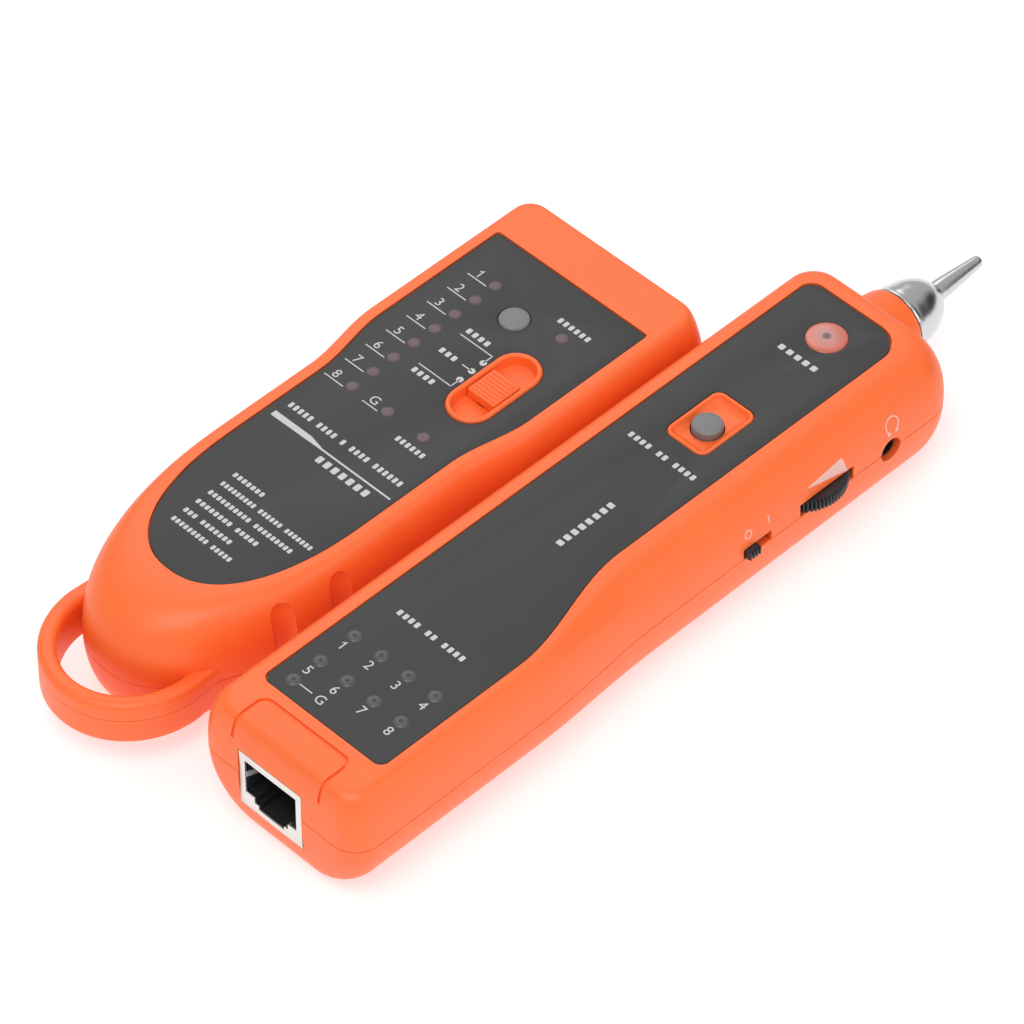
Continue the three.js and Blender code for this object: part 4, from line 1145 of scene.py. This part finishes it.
def tx_upper():
    shell = upper_body(tx_ring, TX_SEAM)
    add(shell, loop_part(TX_SEAM + HALF_SEAM, 40))
    cut(shell, *tx_grips())
    cut(shell, cut(upper_body(tx_ring, TX_SEAM, WALL, TX_SEAM - 2), *tx_grips(1.6)))
    screw_bosses(shell, TX_SCREWS)
    cut(shell, prism(tx_label_outline(0.2), LABEL_TOP - LABEL_THICK - 0.2, HEIGHT + 1))
    led_holes(shell, "tx", TX_LEDS)
    x, y, length, width = TX_SLOT

    def slot_outline(inset):
        return stadium(x, y, length - 2 * inset, width - 2 * inset)

    cut(shell, prism(slot_outline(0.05), HEIGHT - 6, HEIGHT + 2))
    add(shell, tray(slot_outline, 1.1, HEIGHT + 0.3, HEIGHT - 2.2, HEIGHT - 3.2, 0.5, 0.2))
    cut(shell, block((x - 3.6, y - 1.05, HEIGHT - 6), (x + 3.6, y + 1.05, HEIGHT)))
    button = node_spot("tx_test_button")
    cut(shell, cylinder((button.x, button.y, HEIGHT - 5), BUTTON_R + 0.2, 9))
    cut(shell, *tx_sockets())
    soften(shell)
    place(shell, "tx_upper_shell", "emitter", "case", ["tx_upper_case"])


def tx_lower():
    shell = lower_body(tx_ring, TX_SEAM)
    add(shell, loop_part(0, TX_SEAM - HALF_SEAM))
    cut(shell, *tx_grips())
    cut(shell, cut(lower_body(tx_ring, TX_SEAM, WALL, TX_SEAM + 2), *tx_grips(1.6)))
    add(shell, door_frame(lower_body(tx_ring, TX_SEAM), TX_DOOR_X))
    screw_pillars(shell, TX_SCREWS)
    cut(shell, *tx_sockets(), *door_recess(TX_DOOR_X))
    soften(shell)
    place(shell, "tx_lower_shell", "emitter", "case", ["tx_lower_case"])


def tx_label():
    label = prism(tx_label_outline(-0.05), LABEL_TOP - LABEL_THICK, LABEL_TOP)
    x, y, length, width = TX_SLOT
    cut(label, prism(stadium(x, y, length + 0.3, width + 0.3), 20, 30))
    button = node_spot("tx_test_button")
    cut(label, cylinder((button.x, button.y, 20), BUTTON_R + 0.2, 10, steps=64))
    place(soften(label, 0.08), "tx_label", "emitter", "label", ["tx_face_label"])
    disc = [(0, -0.1), (1.27, -0.1), (1.27, 0.02), (1.2, 0.06), (0.7, 0.09), (0, 0.1)]
    lamps = windows("tx", TX_LEDS, disc)
    place(lamps, "tx_led_windows", "emitter", "label", finish=FLAT_LED)


def tx_button():
    button = node_spot("tx_test_button")
    profile = button_profile(HEIGHT + 0.6, HEIGHT - 0.2, 14.4)
    piece = lathe(profile, (button.x, button.y, 0), steps=64)
    place(piece, "tx_button", "tx_test_button_body", "button", ["tx_test_button"])


def tx_slide():
    """The mode slide: a ribbed knob, its stem and the plate that shuts the slot from below."""
    x, y = TX_SLOT[:2]
    low, top = HEIGHT - 1.9, HEIGHT + 0.2
    knob = rounded_block((x - 3.6, y - 3.5, low), (x + 3.6, y + 3.5, top - 0.2), 0.4)
    ribs = []
    for i in range(7):
        rx = x - 2.7 + i * 0.9
        ribs.append(rounded_block((rx - 0.26, y - 3.0, low + 1), (rx + 0.26, y + 3.0, top), 0.18))
    add(knob, *ribs)
    add(knob, block((x - 0.4, y - 0.85, 14.6), (x + 0.4, y + 0.85, low + 0.3)))
    add(knob, block((x - 8, y - 2.6, HEIGHT - 4.3), (x + 8, y + 2.6, HEIGHT - 3.5)))
    place(knob, "tx_slide_knob", "tx_mode_slider_body", "case", ["tx_mode_slider"])


def tx_print():
    marks = []
    for i in range(1, 9):
        led = node_spot(f"tx_led_{i}")
        marks.append(glyph(str(i), led.x + 0.3, 14.2))
        marks.append(bar(led.x - 1.3, 11.0, 16.0))
    marks.append(bar(81.8, 1.9, 5.9))
    marks.append(glyph("G", 83.5, 4.2))
    for x in (98.4, 101.5, 104.5):
        marks.append(ink(circle(x, -3.1, 0.72, 24)))
    marks += [
        patch(104.5, -3.22, 106.9, -2.98),
        bar(106.9, -3.22, 5.4),
        bar(101.5, -3.1, -0.6),
        patch(96.0, -3.22, 98.4, -2.98),
        bar(96.0, -3.22, 5.4),
    ]
    marks += word(79.6, -5.5, -13.1, (6,))
    marks += word(122.7, -5.0, -13.5, (6,))
    marks += word(108.6, 5.2, -1.1, (4,))
    marks += word(101.5, 5.2, 0.5, (3,))
    marks += word(94.3, 5.2, -0.8, (4,))
    marks += word(71.7, 14.7, -15.3, (5, 4, 1, 4, 6), 1.4)
    thick = [(67.3, 15.3), (68.7, 15.3), (68.7, 5.7), (67.9, 2.0), (67.9, -16.0), (67.5, -16.0), (67.5, 2.0)]
    marks.append(ink(list(reversed(thick))))
    marks += word(65.6, 1.0, -13.0, (7,), 1.7)
    lines = ((52.0, 8.2, (7,)), (48.9, 24, (9, 6, 7)), (45.8, 22, (10, 9)))
    lines += ((42.7, 16.3, (8, 5)), (39.6, 12.6, (3, 7)), (36.6, 15.7, (9, 5)))
    for x, length, groups in lines:
        marks += word(x, 8.9, 8.9 - length, groups, 1.15, gap=0.6)
    place(joined(marks), "tx_label_print", "emitter", "label", finish=PRINT)


def tx_jacks():
    """The network jack and the phone jack, side by side in the end."""
    turned = Matrix.Rotation(math.pi, 4, "Z")
    for y, size, mouth, *kind in (
        (TX_JACKS_Y[0], NETWORK_SIZE, NETWORK_MOUTH, "tx_network", "shield", "jack_shield", ["tx_rj45_jack"]),
        (TX_JACKS_Y[1], PHONE_SIZE, PHONE_MOUTH, "tx_phone", "housing", "black_plastic", ["tx_rj11_jack"]),
    ):
        where = Matrix.Translation((TX_LENGTH - 0.4, y, TX_JACK_LOW)) @ turned
        network_socket(size, mouth, where, "emitter", *kind)


# ---- the model ----


def underside(unit, body, ring, seam, door_x, screws):
    """A unit's battery door and its two screws."""
    door = battery_door(lower_body(ring, seam), door_x)
    place(door, f"{unit}_door", f"{unit}_battery_door_body", "case", [f"{unit}_battery_door"])
    for number, (x, y) in enumerate(screws, 1):
        screw(x, y, f"{unit}_machine_screw_{number}", f"{unit}_screw_{number}", body)


rx_upper()
rx_lower()
rx_label()
rx_print()
rx_side_print()
rx_probe()
rx_button_and_lens()
rx_wheel()
rx_slide()
rx_ear()
rx_socket()
underside("rx", "receiver", rx_ring, RX_SEAM, RX_DOOR_X, RX_SCREWS)

tx_upper()
tx_lower()
tx_label()
tx_print()
tx_button()
tx_slide()
tx_jacks()
underside("tx", "emitter", tx_ring, TX_SEAM, TX_DOOR_X, TX_SCREWS)

for part in frame["record"]["subparts"]:
    node = frame["nodes"][part["node"]]
    finish = SLOT_FINISH[part["material_slot"]]
    if node.material_slots:
        node.material_slots[0].material = finish
    else:
        node.data.materials.append(finish)

# ---- floor, light and camera ----


def shade_world(tree):
    """White all round but for a soft dark patch low on the right, for the metal to reflect."""
    nodes, links = tree.nodes, tree.links
    where = nodes.new("ShaderNodeTexCoord")
    facing = nodes.new("ShaderNodeVectorMath")
    facing.operation = "DOT_PRODUCT"
    preset(facing, {1: Vector((0.9, -0.42, 0.14)).normalized()})
    links.new(where.outputs["Generated"], facing.inputs[0])
    spread = nodes.new("ShaderNodeMapRange")
    spread.interpolation_type = "SMOOTHSTEP"
    preset(spread, {"From Min": 0.84, "From Max": 0.97, "To Min": 1.0, "To Max": 0.06})
    links.new(facing.outputs["Value"], spread.inputs["Value"])
    links.new(spread.outputs["Result"], nodes["Background"].inputs["Color"])
    preset(nodes["Background"], {"Strength": 0.56})


def studio():
    """A white floor that glows a little, a pale world and three soft lights."""
    reach, z = 4, -0.0002
    corners = [(-reach, -reach, z), (reach, -reach, z), (reach, reach, z), (-reach, reach, z)]
    floor = make(corners, [(0, 1, 2, 3)], "floor")
    pale = material("floor", linear(208, 208, 208), 0.8, shift=0.003)
    glow = {"Emission Color": (1, 1, 1, 1), "Emission Strength": 0.5}
    preset(pale.node_tree.nodes["Principled BSDF"], glow)
    floor.data.materials.append(pale)
    world = bpy.data.worlds.new("studio")
    bpy.context.scene.world = world
    world.use_nodes = True
    shade_world(world.node_tree)
    for name, place_at, size, power in (
        ("key", (-0.5, -0.2, 1.1), 0.7, 5.9),
        ("fill", (0.3, -1.1, 0.7), 0.9, 3.1),
        ("back", (0.6, 0.85, 1.0), 0.9, 3.8),
    ):
        light = bpy.data.lights.new(name, "AREA")
        light.size = size
        light.energy = power
        lamp = linked(name, light)
        lamp.location = place_at
        aim = Vector((0, 0, 0.01)) - Vector(place_at)
        lamp.rotation_euler = aim.to_track_quat("-Z", "Y").to_euler()


def camera():
    """A long lens that looks down over the receiver's socket end."""
    azimuth, elevation = math.radians(-45), math.radians(46.5)
    distance = 1.224
    target = RX_AT + Vector((90.4, 30.9, -1.0)) * MM
    flat = math.cos(elevation)
    back = Vector((math.sin(azimuth) * flat, -math.cos(azimuth) * flat, math.sin(elevation)))
    data = bpy.data.cameras.new("camera")
    data.sensor_width = 36
    data.lens = 6500 * 36 / 1024
    data.clip_start, data.clip_end = 0.05, 20
    eye = linked("camera", data)
    eye.location = target + back * distance
    eye.rotation_euler = (-back).to_track_quat("-Z", "Y").to_euler()
    bpy.context.scene.camera = eye


studio()
camera()
bpy.context.scene.view_settings.view_transform = "Standard"
